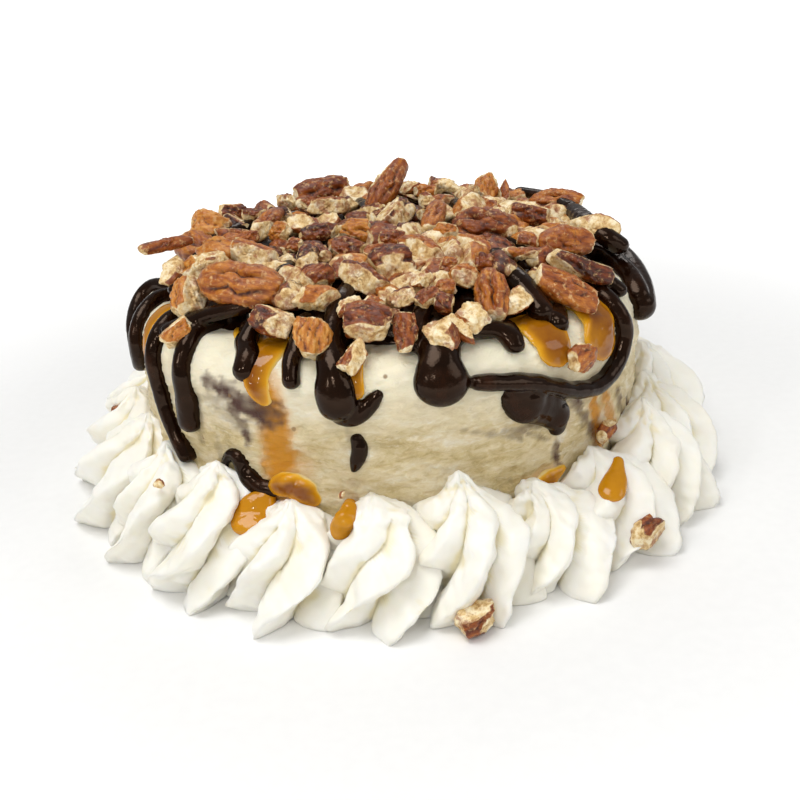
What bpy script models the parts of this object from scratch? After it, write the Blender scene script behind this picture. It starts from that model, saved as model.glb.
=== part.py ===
# Ice cream cake: a round block of ice cream with fudge and caramel run over it, a heap of
# chopped pecans on top, and a ring of piped cream stars round its foot.
# Metres, +Z up, front towards -Y, origin in the middle of the foot, which lies on z = 0.

import math
import random

import bmesh
import bpy
from mathutils import Matrix, Vector

# The block of ice cream
CAKE_RADIUS = 0.0715
FOOT_RADIUS = 0.0695
CAKE_HEIGHT = 0.0600
RIM_ROUND = 0.0090
CAKE_SIDES = 56
RIM_STEPS = 4

# Room between pieces that touch
GAP = 0.0003
CLEARANCE = 0.00035
STAR_CLEARANCE = 0.0006

# Sauce
SAUCE_SIDES = 6
SAUCE_STEP = 0.0060
SEAT_SHARE = 0.15
BACK_FUDGE_RELIEF = 4.2
BACK_CARAMEL_RELIEF = 1.3
BACK_START_SHARE = 0.8

# The heap of pecans
HEAP_PLATEAU = 0.0125
HEAP_PLATEAU_RADIUS = 0.045
HEAP_RADIUS = 0.069
HEAP_EDGE_DROP = 0.0110
CORE_LIFT = 0.0006
CORE_DEPTH = 0.0036
CORE_RADIUS = 0.0585
CORE_SIDES = 22
CORE_RINGS = (1.0, 0.9, 0.7, 0.4, 0.0)
PECAN_LENGTH = 0.024
GROOVED_LENGTH = 0.019
LARGE_COUNT = 38
SMALL_COUNT = 20
HEAP_SEED = 11
PLACE_TRIES = 24
EDGE_ROOM = 0.003
CORE_WAVE = 0.0012
# Lengths of the larger and smaller pieces as shares of a whole pecan's, and their other measures
# as shares of that length
LARGE_LENGTHS = (0.60, 0.78)
SMALL_LENGTHS = (0.38, 0.52)
PIECE_WIDTHS = (0.65, 0.90)
PIECE_THICKNESSES = (0.50, 0.65)
PIECE_RISES = (-16, 16)
BEDDED_SHARES = (0.2, 0.4)
# A pecan's groove and the uneven skin, and where its ends have snapped
GROOVE_DEPTH = 0.30
GROOVE_WIDTH = 0.28
SKIN_UNEVENNESS = 0.08
SNAP_PLACES = (0.30, 0.44)
# Chips of pecan: their measures, how they lie and the order of their shapes
CHIP_SEED = 3
CHIP_THICKNESS = 0.005
CHIP_LIFT = 0.0035
CHIP_RISE = 40
STAR_CHIP_TURN = 70
STAR_CHIP_WIDTH = 0.75
STAR_CHIP_THICKNESS = 0.60

# The ring of piped cream
STAR_COUNT = 22
STAR_FIRST = -77.5
STAR_PITCH = 360.0 / STAR_COUNT
STAR_RING = 0.0795
STAR_RADIUS = 0.0166
STAR_HEIGHT = 0.0290
STAR_LEAN = 0.0060
STAR_TWIST = 105.0
STAR_TURN_POWER = 1.25
STAR_LOBES = 6
STAR_SEED = 5
# Height and width of a star from its foot to its tip, and how deep its valleys go, as shares
STAR_PROFILE = (
    (0.00, 0.95, 0.58),
    (0.20, 1.00, 0.55),
    (0.48, 0.98, 0.50),
    (0.72, 0.83, 0.49),
    (0.87, 0.37, 0.43),
    (1.00, 0.07, 0.25),
)
CREST_SHARPNESS = 1.25
SLOPE_PLACE = 0.70
# How stars differ: the least and the most of each measure, as shares or in degrees
HEIGHT_SHARES = (0.92, 1.08)
SIZE_SHARES = (0.96, 1.06)
TWIST_SHARES = (0.80, 1.25)
TOE_TURNS = (-14, 26)
RIDGE_LEANS = (0.62, 0.80)
RIDGE_LENGTHS = (0.86, 1.07)
VALLEY_SHARES = (0.75, 1.15)
CROWN_RANGE = (0.0, 1.3)
# Radians that the ridges wander sideways, twice and three times round a star
TWO_SIDED_WOBBLE = 0.12
THREE_SIDED_WOBBLE = 0.10
WOBBLE_CLIMB = 5
WOBBLE_AT_FOOT = 0.3
WOBBLE_ROUNDS = 4
# Degrees that a star's first toe stands from straight out, where the photograph shows it
SEEN_TOES = {1: 14, 22: 18, 21: 2, 2: 4, 20: 24, 3: 10}
# Metres that a star stands lower than the others, where the photograph shows it
SEEN_DROPS = {21: 0.0024, 2: 0.0048, 3: 0.0020}
# Millimetres that a curled top adds to a star near its tip, where the photograph shows it
CROWN_SIZES = {1: 0.2, 22: 3.0, 21: 1.8, 2: 1.2, 3: 2.0}
CROWN_PLACE = 0.90
CROWN_SPREAD = 0.06

TOP_FLAT = CAKE_RADIUS - RIM_ROUND
RIM_ARC = RIM_ROUND * math.pi / 2
SHOULDER = CAKE_HEIGHT - RIM_ROUND
SIDE_TOP = TOP_FLAT + RIM_ARC

# Each run of sauce: its half widths at both ends, how far it stands proud, and its route.
# A place on the skin is an azimuth in degrees and a reach in millimetres along the skin
# from the middle of the top, so 62.5 is the start of the rim and 76.6 the top of the side.
FUDGE_RUNS = (
    ("far_left", 2.2, 2.0, 3.2, ((-175, 62), (-178, 67), (-176, 72), (-170, 76), (-166, 81), (-165, 87))),
    ("left_inner", 2.3, 2.0, 3.2, ((-167, 60), (-166, 64), (-163, 68), (-160, 74), (-160, 80), (-163, 85))),
    ("left_rope", 2.4, 2.2, 3.6, ((-150, 60), (-149, 65), (-147, 72), (-146, 80), (-144, 90), (-138, 102))),
    ("left_wide", 2.5, 3.7, 3.8, ((-138, 60), (-138, 63), (-136, 69), (-135, 80), (-136, 92))),
    ("front_left", 2.9, 3.2, 3.8, ((-124, 60), (-122, 64), (-119, 68), (-119, 74))),
    ("front_small", 2.1, 2.4, 3.4, ((-110, 60), (-110, 64), (-109, 69), (-108, 75))),
    ("front_bulb", 3.9, 5.4, 4.6, ((-102, 60), (-101, 65), (-100, 73), (-99, 81))),
    ("front_drop", 4.8, 7.2, 5.4, ((-78, 60), (-79, 65), (-80, 71), (-80, 79))),
    (
        "loop",
        2.8,
        2.1,
        3.8,
        (
            (-24, 60), (-29, 63), (-32, 66), (-33, 70), (-33, 77), (-36, 83),
            (-43, 86), (-51, 84), (-58, 80), (-64, 77), (-75, 74.5),
        ),
    ),
    ("loop_blob_left", 3.2, 4.2, 3.4, ((-63, 78), (-63, 83), (-62.5, 88))),
    ("loop_blob_right", 3.2, 4.2, 3.4, ((-58, 80), (-57, 86), (-56.5, 91))),
    ("loop_stub_left", 2.6, 3.0, 3.8, ((-63, 60), (-63, 64), (-64, 70))),
    ("loop_stub_right", 2.8, 3.0, 3.8, ((-46, 60), (-49, 64), (-53, 69))),
    ("right_rope", 3.6, 4.4, 5.2, ((9, 60), (4, 64), (-5, 68), (-14, 72), (-21, 77))),
    ("hook", 1.7, 1.9, 3.0, ((-123, 88), (-125, 93), (-121, 95), (-119, 99), (-116, 101))),
)
CARAMEL_RUNS = (
    ("left_glaze", 6.0, 4.6, 1.3, ((-118, 61), (-115, 65), (-114, 72), (-112, 84), (-111, 94), (-112, 102))),
    ("far_left_glaze", 3.0, 2.4, 1.2, ((-158, 62), (-155, 68), (-152, 75), (-151, 80))),
    ("bulb_edge", 2.2, 2.0, 1.2, ((-97, 62), (-96, 70), (-96, 76))),
    ("loop_left_glaze", 6.0, 4.4, 1.3, ((-56, 60), (-56, 65), (-56, 71), (-57, 77))),
    ("loop_right_glaze", 5.0, 6.0, 1.3, ((-39, 60), (-40, 66), (-43, 74), (-44, 82))),
    ("right_run", 2.6, 2.2, 1.5, ((-43, 84), (-43, 93), (-42, 100))),
    ("far_right_run", 2.4, 3.4, 1.6, ((-36, 86), (-35, 96), (-33, 108), (-33, 118))),
)
# The far side carries runs of the same kinds: azimuth, reach of the lower end, half width
BACK_FUDGE = (
    (28, 88, 3.0), (49, 82, 4.2), (68, 97, 2.4), (88, 80, 5.0),
    (109, 91, 3.0), (131, 84, 3.8), (150, 99, 2.5),
)
BACK_CARAMEL = ((38, 92, 4.4), (79, 86, 3.2), (119, 100, 4.6), (162, 84, 3.4))

# Pecans known by sight, in millimetres and degrees: place, heading, rise of the far end,
# length, width and thickness
KNOWN_PECANS = (
    ("grooved_left", (-36, -36, 69.5), -30, 2, 25, 16, 8),
    ("peaked_back", (-19, 48, 71.5), 0, 14, 22, 15, 10),
    ("standing", (1, 31, 76.5), 40, 50, 24, 10, 9),
    ("cut_finger", (3, 8, 72), 25, 10, 17, 11, 9),
    ("grooved_back", (30, 8, 71.5), -6, 4, 19, 15, 8),
    ("upright_back", (31, 34, 72.5), 80, 24, 14, 10, 9),
    ("grooved_right", (45, 24, 70.5), -4, 0, 17, 12, 7),
    ("pale_right", (59, 5, 67.5), -30, -8, 15, 10, 7),
    ("rough_right", (46, -12, 71), -8, 0, 20, 12, 8),
    ("edged_right", (51, -31, 67.5), -38, -8, 21, 12, 7),
    ("long_right", (43, -45, 67), -50, -10, 24, 11, 8),
    ("shard_left", (-62, 15, 67), 205, -4, 20, 7, 6),
    ("knob_left", (-51, 19, 69.5), 20, 6, 14, 11, 8),
    ("middle_chunk", (2, -36, 73), 12, 6, 17, 14, 10),
    ("front_chunk", (-5, -58, 68), -20, -6, 17, 12, 8),
    ("front_pale", (16, -57, 67), -60, -4, 14, 10, 7),
    ("front_drop", (-18, -63, 64), -88, -30, 13, 9, 7),
    ("front_small", (5, -64, 63.5), -84, -28, 14, 7, 6),
    ("front_cream", (12, -65, 63), -75, -28, 14, 10, 7),
    ("red_half", (25, -47, 70.5), 80, 6, 16, 10, 8),
)
# Chips away from the heap: azimuth, reach on the skin or ring radius and height, length
SKIN_CHIPS = ((-51, 75.0, 8.0, 7.0), (-41, 100.0, 6.5, 5.5))
STAR_CHIPS = ((-80, 94.5, 3.6, 11.5), (-47.5, 92.0, 9.0, 10.0), (-176, 82.0, 23.0, 6.0))


def side_radius(height):
    """The cake's radius at a height on its side, which draws in slightly towards the foot."""
    share = 1.0 - max(0.0, height) / SHOULDER
    return CAKE_RADIUS - (CAKE_RADIUS - FOOT_RADIUS) * share


def skin(azimuth, reach):
    """A point on the bare cake, and the way straight out of it."""
    turn = math.radians(azimuth)
    if reach <= TOP_FLAT:
        radius, height, lean = reach, CAKE_HEIGHT, math.pi / 2
    elif reach <= SIDE_TOP:
        lean = math.pi / 2 - (reach - TOP_FLAT) / RIM_ROUND
        radius = TOP_FLAT + RIM_ROUND * math.cos(lean)
        height = SHOULDER + RIM_ROUND * math.sin(lean)
    else:
        height, lean = SHOULDER - (reach - SIDE_TOP), 0.0
        radius = side_radius(height)
    around = Vector((math.cos(turn), math.sin(turn), 0.0))
    outward = around * math.cos(lean) + Vector((0.0, 0.0, math.sin(lean)))
    return around * radius + Vector((0.0, 0.0, height)), outward


def smooth_route(stops):
    """Places every few millimetres on a smooth curve through the stops of a route."""
    last = len(stops) - 1
    route = []
    for i in range(last):
        a, b, c, d = stops[max(0, i - 1)], stops[i], stops[i + 1], stops[min(last, i + 2)]
        length = (skin(b[0], b[1])[0] - skin(c[0], c[1])[0]).length
        steps = max(1, round(length / SAUCE_STEP))
        for step in range(steps):
            t = step / steps
            place = []
            for p, q, r, s in zip(a, b, c, d):
                curved = (2 * p - 5 * q + 4 * r - s) * t**2 + (3 * q - p - 3 * r + s) * t**3
                place.append(0.5 * (2 * q + (r - p) * t + curved))
            route.append(tuple(place))
    route.append(stops[-1])
    return route


def to_object(name, bm, collection=None):
    """Closes a bmesh into a named object."""
    bmesh.ops.recalc_face_normals(bm, faces=bm.faces)
    mesh = bpy.data.meshes.new(name)
    bm.to_mesh(mesh)
    bm.free()
    obj = bpy.data.objects.new(name, mesh)
    (collection or bpy.context.scene.collection).objects.link(obj)
    return obj


def new_collection(name):
    """A collection in the scene for the pieces that one union joins."""
    collection = bpy.data.collections.new(name)
    bpy.context.scene.collection.children.link(collection)
    return collection


def finish(name, colour, roughness):
    """A plain material with the food's colour."""
    material = bpy.data.materials.new(name)
    material.use_nodes = True
    shader = material.node_tree.nodes["Principled BSDF"]
    shader.inputs["Base Color"].default_value = (*colour, 1.0)
    shader.inputs["Roughness"].default_value = roughness
    return material


def joined_rings(bm, frames, sides):
    """Rings placed by their frames, joined into a closed skin."""
    rings = []
    for frame in frames:
        ring = bmesh.ops.create_circle(bm, segments=sides, radius=1.0, matrix=frame)["verts"]
        rings.append((ring, list({edge for vert in ring for edge in vert.link_edges})))
    for (_, edges), (_, next_edges) in zip(rings, rings[1:]):
        bmesh.ops.bridge_loops(bm, edges=edges + next_edges)
    for edges in (rings[0][1], rings[-1][1]):
        bmesh.ops.edgeloop_fill(bm, edges=edges)
    return [ring for ring, _ in rings]


def sauce_run(name, start_half, end_half, relief, stops, collection, material):
    """A run of sauce with rounded ends, seated in the cake's skin."""
    route = smooth_route([(azimuth, reach / 1000) for azimuth, reach in stops])
    places = [skin(azimuth, reach) for azimuth, reach in route]
    lengths = [0.0]
    for (here, _), (there, _) in zip(places, places[1:]):
        lengths.append(lengths[-1] + (there - here).length)
    frames = []
    for i, (place, outward) in enumerate(places):
        ahead = places[min(i + 1, len(places) - 1)][0] - places[max(i - 1, 0)][0]
        across = ahead.cross(outward).normalized()
        along = lengths[i] / lengths[-1]
        half = (start_half + (end_half - start_half) * along) / 1000
        from_end = min(lengths[i], lengths[-1] - lengths[i]) + half * 0.25
        rounding = math.sqrt(1.0 - (1.0 - min(1.0, from_end / half)) ** 2)
        thick = (1.0 - SEAT_SHARE) * relief / 1000 * rounding
        centre = place + outward * (SEAT_SHARE * relief / 1000)
        frame = Matrix((across * half * rounding, outward * thick, ahead.normalized()))
        frames.append(Matrix.Translation(centre) @ frame.transposed().to_4x4())
    bm = bmesh.new()
    joined_rings(bm, frames, SAUCE_SIDES)
    to_object(name, bm, collection).data.materials.append(material)


def evaluated_mesh(obj):
    """The object's mesh with its modifiers worked out."""
    bpy.context.view_layer.update()
    depsgraph = bpy.context.evaluated_depsgraph_get()
    return bpy.data.meshes.new_from_object(obj.evaluated_get(depsgraph))


def keep_one_body(mesh):
    """Drops loose scraps, and the inner shells of hollows that fusing has sealed."""
    bm = bmesh.new()
    bm.from_mesh(mesh)
    unseen = set(bm.verts)
    bodies = []
    while unseen:
        edge_of_search = [unseen.pop()]
        body = []
        while edge_of_search:
            vert = edge_of_search.pop()
            body.append(vert)
            for edge in vert.link_edges:
                other = edge.other_vert(vert)
                if other in unseen:
                    unseen.remove(other)
                    edge_of_search.append(other)
        bodies.append(body)
    bodies.sort(key=len)
    scraps = [vert for body in bodies[:-1] for vert in body]
    bmesh.ops.delete(bm, geom=scraps, context="VERTS")
    bm.to_mesh(mesh)
    bm.free()


def fuse(body, collection):
    """Joins a collection's pieces to a body as one solid, and removes them."""
    union = body.modifiers.new("Fused pieces", "BOOLEAN")
    union.operation = "UNION"
    union.operand_type = "COLLECTION"
    union.collection = collection
    union.solver = "EXACT"
    union.material_mode = "TRANSFER"
    mesh = evaluated_mesh(body)
    body.modifiers.clear()
    keep_one_body(mesh)
    body.data = mesh
    for piece in list(collection.objects):
        bpy.data.objects.remove(piece)
    bpy.data.collections.remove(collection)


def cut_clear(body, cutter, solver="EXACT"):
    """Takes a cutter's shape out of a body, so that the body rests on it with a gap."""
    cut = body.modifiers.new("Clear of the cake", "BOOLEAN")
    cut.operation = "DIFFERENCE"
    cut.object = cutter
    cut.solver = solver
    mesh = evaluated_mesh(body)
    body.modifiers.clear()
    keep_one_body(mesh)
    body.data = mesh


def grown_copy(body, distance):
    """A copy of a body with its skin moved out, to cut its neighbours with."""
    bm = bmesh.new()
    bm.from_mesh(body.data)
    bmesh.ops.triangulate(bm, faces=bm.faces)
    bm.normal_update()
    moves = [vert.normal * distance * min(2.0, vert.calc_shell_factor()) for vert in bm.verts]
    for vert, move in zip(bm.verts, moves):
        vert.co += move
    copy = to_object(body.name + "_clearance", bm)
    copy.hide_render = True
    copy.display_type = "WIRE"
    return copy


def turn_round(bm, profile, sides):
    """Turns a profile about the upright axis into a closed body."""
    axis = (0, 0, 1)
    bmesh.ops.spin(bm, geom=profile, cent=(0, 0, 0), axis=axis, angle=math.tau, steps=sides, use_merge=True)
    bmesh.ops.remove_doubles(bm, verts=bm.verts, dist=1e-6)


def ice_cream_block(material):
    """The turned block: flat foot, side drawn in downwards, rounded rim, flat top."""
    profile = [(0.0, 0.0), (FOOT_RADIUS, 0.0)]
    for step in range(RIM_STEPS + 1):
        lean = math.pi / 2 * step / RIM_STEPS
        profile.append((TOP_FLAT + RIM_ROUND * math.cos(lean), SHOULDER + RIM_ROUND * math.sin(lean)))
    profile.append((0.0, CAKE_HEIGHT))
    bm = bmesh.new()
    verts = [bm.verts.new((radius, 0.0, height)) for radius, height in profile]
    edges = [bm.edges.new(pair) for pair in zip(verts, verts[1:])]
    turn_round(bm, verts + edges, CAKE_SIDES)
    block = to_object("ice_cream", bm)
    block.data.materials.append(material)
    return block


def pecan_shape(chance, length, width, thickness):
    """A chopped pecan about its own centre: an oval with one or two broken ends, and a
    groove along it if it is nearly a whole half."""
    grooved = length >= GROOVED_LENGTH
    bm = bmesh.new()
    bmesh.ops.create_icosphere(bm, subdivisions=2 if grooved else 1, radius=1.0)
    for vert in bm.verts:
        on_top = grooved and vert.co.z > 0.2
        groove = GROOVE_DEPTH * math.exp(-((vert.co.y / GROOVE_WIDTH) ** 2)) if on_top else 0.0
        bump = 1.0 + chance.uniform(-SKIN_UNEVENNESS, SKIN_UNEVENNESS)
        height = (vert.co.z - groove) * thickness / 2
        vert.co = Vector((vert.co.x * length / 2 * bump, vert.co.y * width / 2 * bump, height))
    for side in (1, -1):
        if side == 1 or chance.random() < 0.5:
            where = Vector((side * length * chance.uniform(*SNAP_PLACES), 0.0, 0.0))
            facing = Vector((side, chance.uniform(-0.5, 0.5), chance.uniform(-0.3, 0.6)))
            whole = list(bm.verts) + list(bm.edges) + list(bm.faces)
            cut = bmesh.ops.bisect_plane(bm, geom=whole, plane_co=where, plane_no=facing, clear_outer=True)
            rim = [item for item in cut["geom_cut"] if isinstance(item, bmesh.types.BMEdge)]
            bmesh.ops.edgeloop_fill(bm, edges=rim)
    return bm


def place_pecan(name, chance, centre, heading, rise, size, collection, material):
    """One pecan turned to its heading and rise, and moved to its place."""
    bm = pecan_shape(chance, *size)
    turn = Matrix.Rotation(math.radians(heading), 4, "Z") @ Matrix.Rotation(-math.radians(rise), 4, "Y")
    bmesh.ops.transform(bm, matrix=Matrix.Translation(centre) @ turn, verts=bm.verts)
    to_object(name, bm, collection).data.materials.append(material)


def heap_height(radius):
    """Height of the heap's upper pecans: a plateau that falls away to the rim."""
    fall = max(0.0, radius - HEAP_PLATEAU_RADIUS) / (HEAP_RADIUS - HEAP_PLATEAU_RADIUS)
    return CAKE_HEIGHT + HEAP_PLATEAU - HEAP_EDGE_DROP * fall**2


def heap_core(material):
    """The middle of the heap: a low uneven dome that stands on the cake's top."""
    floor = CAKE_HEIGHT + CORE_LIFT
    profile = [(0.0, floor), (CORE_RADIUS - 0.002, floor)]
    for share in CORE_RINGS:
        profile.append((CORE_RADIUS * share, heap_height(CORE_RADIUS * share) - CORE_DEPTH))
    bm = bmesh.new()
    verts = [bm.verts.new((radius, 0.0, height)) for radius, height in profile]
    edges = [bm.edges.new(pair) for pair in zip(verts, verts[1:])]
    turn_round(bm, verts + edges, CORE_SIDES)
    for vert in bm.verts:
        if vert.co.z > floor + EDGE_ROOM:
            vert.co.z += CORE_WAVE * math.sin(vert.co.x * 230) * math.cos(vert.co.y * 190)
    core = to_object("pecan_heap", bm)
    core.data.materials.append(material)
    return core


def pecan_heap(cake_clearance, material):
    """The core with its showing pecans: the known ones, then larger and smaller pieces by rule."""
    chance = random.Random(HEAP_SEED)
    core = heap_core(material)
    loose = new_collection("pecans")
    taken = []
    for name, centre, heading, rise, length, width, thickness in KNOWN_PECANS:
        centre = Vector(centre) / 1000
        size = (length / 1000, width / 1000, thickness / 1000)
        place_pecan(name, chance, centre, heading, rise, size, loose, material)
        taken.append((centre, length / 1000))
    by_rule = (("large", LARGE_COUNT, LARGE_LENGTHS), ("small", SMALL_COUNT, SMALL_LENGTHS))
    for kind, count, lengths in by_rule:
        for number in range(count):
            length = PECAN_LENGTH * chance.uniform(*lengths)
            thickness = length * chance.uniform(*PIECE_THICKNESSES)
            centre = free_place(chance, taken, length, thickness)
            taken.append((centre, length))
            heading = chance.uniform(0, 360)
            rise = chance.uniform(*PIECE_RISES)
            size = (length, length * chance.uniform(*PIECE_WIDTHS), thickness)
            place_pecan(f"{kind}_{number}", chance, centre, heading, rise, size, loose, material)
    fuse(core, loose)
    cut_clear(core, cake_clearance, "MANIFOLD")
    return core


def free_place(chance, taken, length, thickness):
    """The roomiest of a few seeded places, with the piece bedded in the core."""
    best, most_room = None, -1.0
    for _ in range(PLACE_TRIES):
        radius = (HEAP_RADIUS - EDGE_ROOM) * math.sqrt(chance.random())
        turn = chance.uniform(0, math.tau)
        height = heap_height(radius) - CORE_DEPTH + thickness * chance.uniform(*BEDDED_SHARES)
        place = Vector((radius * math.cos(turn), radius * math.sin(turn), height))
        room = min((place - other).length - (length + size) * 0.4 for other, size in taken)
        if best is None or room > most_room:
            best, most_room = place, room
    return best


def clipped(centre, direction, reach, azimuth, height):
    """How far a star's skin goes before it meets its neighbours or the cake."""
    for side in (1, -1):
        plane = math.radians(azimuth + side * STAR_PITCH / 2)
        inward = Vector((side * math.sin(plane), -side * math.cos(plane)))
        towards = -inward.dot(direction)
        if towards > 1e-6:
            reach = min(reach, (inward.dot(centre) - GAP / 2) / towards)
    cake = side_radius(height) + STAR_CLEARANCE
    along = centre.dot(direction)
    inside = along**2 - centre.length_squared + cake**2
    if inside > 0.0 and along < 0.0:
        reach = min(reach, -along - math.sqrt(inside))
    return reach


def cream_star(number, azimuth, material):
    """One piped star: ridges that sweep round it and draw in to a tip leaning on the cake."""
    chance = random.Random(STAR_SEED * 100 + number)
    height = STAR_HEIGHT * chance.uniform(*HEIGHT_SHARES) - SEEN_DROPS.get(number, 0)
    size = STAR_RADIUS * chance.uniform(*SIZE_SHARES)
    twist = math.radians(STAR_TWIST) * chance.uniform(*TWIST_SHARES)
    toe = math.radians(SEEN_TOES.get(number, chance.uniform(*TOE_TURNS)))
    two_sided, three_sided = chance.uniform(0, math.tau), chance.uniform(0, math.tau)
    lean = chance.uniform(*RIDGE_LEANS)
    crest_place = 0.5 ** (1 / lean)
    slope = 1 - abs(2 * SLOPE_PLACE**lean - 1) ** CREST_SHARPNESS
    longer = [chance.uniform(*RIDGE_LENGTHS) for _ in range(STAR_LOBES)]
    deeper = [chance.uniform(*VALLEY_SHARES) for _ in range(STAR_LOBES)]
    crown = CROWN_SIZES[number] if number in CROWN_SIZES else chance.uniform(*CROWN_RANGE)
    turn = math.radians(azimuth)
    outward = Vector((math.cos(turn), math.sin(turn)))
    bm = bmesh.new()
    frames = [Matrix.Translation((0, 0, height * share)) for share, _, _ in STAR_PROFILE]
    rings = joined_rings(bm, frames, STAR_LOBES * 3)  # a valley, a crest and a slope for each ridge
    for ring, (share, width, depth) in zip(rings, STAR_PROFILE):
        centre = outward * (STAR_RING - STAR_LEAN * share**1.5)
        swell = crown / 1000 * math.exp(-(((share - CROWN_PLACE) / CROWN_SPREAD) ** 2))
        for i, vert in enumerate(ring):
            lobe, part = divmod(i, 3)
            place, hump = ((0.0, 0.0), (crest_place, 1.0), (SLOPE_PLACE, slope))[part]
            even = turn + toe + twist * share**STAR_TURN_POWER
            even += math.tau * (lobe - 0.5 + place) / STAR_LOBES
            angle = even
            for _ in range(WOBBLE_ROUNDS):
                wobble = TWO_SIDED_WOBBLE * math.sin(angle * 2 + two_sided)
                wobble += THREE_SIDED_WOBBLE * math.sin(angle * 3 + share * WOBBLE_CLIMB + three_sided)
                angle = even - wobble * (WOBBLE_AT_FOOT + share)
            direction = Vector((math.cos(angle), math.sin(angle)))
            valley = 1 - depth * deeper[lobe]
            reach = size * width * (longer[lobe] * hump + valley * (1 - hump)) + swell
            reach = clipped(centre, direction, reach, azimuth, height * share)
            vert.co = Vector((*(centre + direction * reach), height * share))
    star = to_object(f"cream_star_{number:02d}", bm)
    star.data.materials.append(material)
    return star


def star_ring(cream, pecan, cake_clearance):
    """The ring of stars, with the chips that have fallen on three of them."""
    chance = random.Random(STAR_SEED)
    for i in range(STAR_COUNT):
        azimuth = STAR_FIRST + i * STAR_PITCH
        star = cream_star(i + 1, azimuth, cream)
        for chip_azimuth, radius, height, length in STAR_CHIPS:
            apart = (chip_azimuth - azimuth + 180) % 360 - 180
            if abs(apart) < STAR_PITCH / 2:
                turn = math.radians(chip_azimuth)
                centre = Vector((radius * math.cos(turn), radius * math.sin(turn), height)) / 1000
                size = [length / 1000 * share for share in (1.0, STAR_CHIP_WIDTH, STAR_CHIP_THICKNESS)]
                loose = new_collection("chip")
                place_pecan("chip", chance, centre, chip_azimuth + STAR_CHIP_TURN, 0, size, loose, pecan)
                fuse(star, loose)
        cut_clear(star, cake_clearance)


def dressed_cake(ice_cream, fudge, caramel, pecan):
    """The block with its fudge, caramel and the chips stuck to its side."""
    block = ice_cream_block(ice_cream)
    sauce = new_collection("sauce")
    for runs, material in ((CARAMEL_RUNS, caramel), (FUDGE_RUNS, fudge)):
        for name, start_half, end_half, relief, stops in runs:
            sauce_run(name, start_half, end_half, relief, stops, sauce, material)
    behind = ((BACK_CARAMEL, caramel, BACK_CARAMEL_RELIEF), (BACK_FUDGE, fudge, BACK_FUDGE_RELIEF))
    for runs, material, relief in behind:
        for azimuth, reach, half in runs:
            stops = ((azimuth + 3, 60), (azimuth + 1, 66), (azimuth, 76), (azimuth, reach))
            start = half * BACK_START_SHARE
            sauce_run(f"back_{azimuth}", start, half, relief, stops, sauce, material)
    chance = random.Random(CHIP_SEED)
    for azimuth, reach, length, width in SKIN_CHIPS:
        place, outward = skin(azimuth, reach / 1000)
        centre = place + outward * CHIP_LIFT
        size = (length / 1000, width / 1000, CHIP_THICKNESS)
        place_pecan("chip", chance, centre, azimuth + 90, CHIP_RISE, size, sauce, pecan)
    fuse(block, sauce)
    return block


def build():
    """Clears the scene and makes the cake."""
    for obj in list(bpy.data.objects):
        bpy.data.objects.remove(obj)
    ice_cream = finish("cream-coloured ice cream", (0.86, 0.76, 0.55), 0.5)
    fudge = finish("dark chocolate fudge", (0.022, 0.008, 0.005), 0.25)
    caramel = finish("amber caramel", (0.55, 0.24, 0.02), 0.2)
    pecan = finish("chopped pecan", (0.33, 0.12, 0.04), 0.6)
    cream = finish("whipped cream", (0.88, 0.86, 0.80), 0.55)
    block = dressed_cake(ice_cream, fudge, caramel, pecan)
    cake_clearance = grown_copy(block, CLEARANCE)
    pecan_heap(cake_clearance, pecan)
    star_ring(cream, pecan, cake_clearance)
    bpy.data.objects.remove(cake_clearance)


build()
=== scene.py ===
import math
import random
from functools import partial

import bmesh
import bpy
import numpy as np
from mathutils import Matrix, Vector
from mathutils.bvhtree import BVHTree


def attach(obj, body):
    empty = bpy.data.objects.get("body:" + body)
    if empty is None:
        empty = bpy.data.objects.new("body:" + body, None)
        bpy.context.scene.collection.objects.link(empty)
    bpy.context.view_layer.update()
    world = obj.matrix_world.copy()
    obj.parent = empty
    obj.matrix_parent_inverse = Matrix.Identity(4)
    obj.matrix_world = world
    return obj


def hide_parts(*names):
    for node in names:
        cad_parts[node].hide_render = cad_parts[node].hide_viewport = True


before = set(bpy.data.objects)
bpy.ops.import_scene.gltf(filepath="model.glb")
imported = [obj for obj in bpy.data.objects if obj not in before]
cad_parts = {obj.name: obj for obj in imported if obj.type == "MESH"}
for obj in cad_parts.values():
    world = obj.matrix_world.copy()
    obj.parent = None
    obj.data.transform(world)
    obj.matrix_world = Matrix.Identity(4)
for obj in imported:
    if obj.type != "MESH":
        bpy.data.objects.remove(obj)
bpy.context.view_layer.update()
mm = 0.001  # pieces are modelled in millimetres and brought to metres when they are finished

# camera: where the photograph was taken from, in millimetres from the middle of the cake's foot
cameraView = {
    "place": (5.2, -302.8, 156.1),
    "lowered": 0.4761,  # radians below the level
    "roll": -0.0607,
    "yaw": -0.0103,
    "pitch": 0.0491,
    "focalPixels": 1100.0,
    "imageSize": 800.0,
}


def cameraAxes(view):
    level = Vector((0, math.cos(view["lowered"]), -math.sin(view["lowered"])))
    side = Vector((1, 0, 0))
    above = side.cross(level)
    yaw, pitch, roll = view["yaw"], view["pitch"], view["roll"]
    ahead = level * math.cos(yaw) * math.cos(pitch) + side * math.sin(yaw) * math.cos(pitch)
    ahead += above * math.sin(pitch)
    right = ahead.cross(above).normalized()
    up = right.cross(ahead)
    tiltedRight = right * math.cos(roll) + up * math.sin(roll)
    tiltedUp = up * math.cos(roll) - right * math.sin(roll)
    return tiltedRight, tiltedUp, ahead.normalized()


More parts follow.
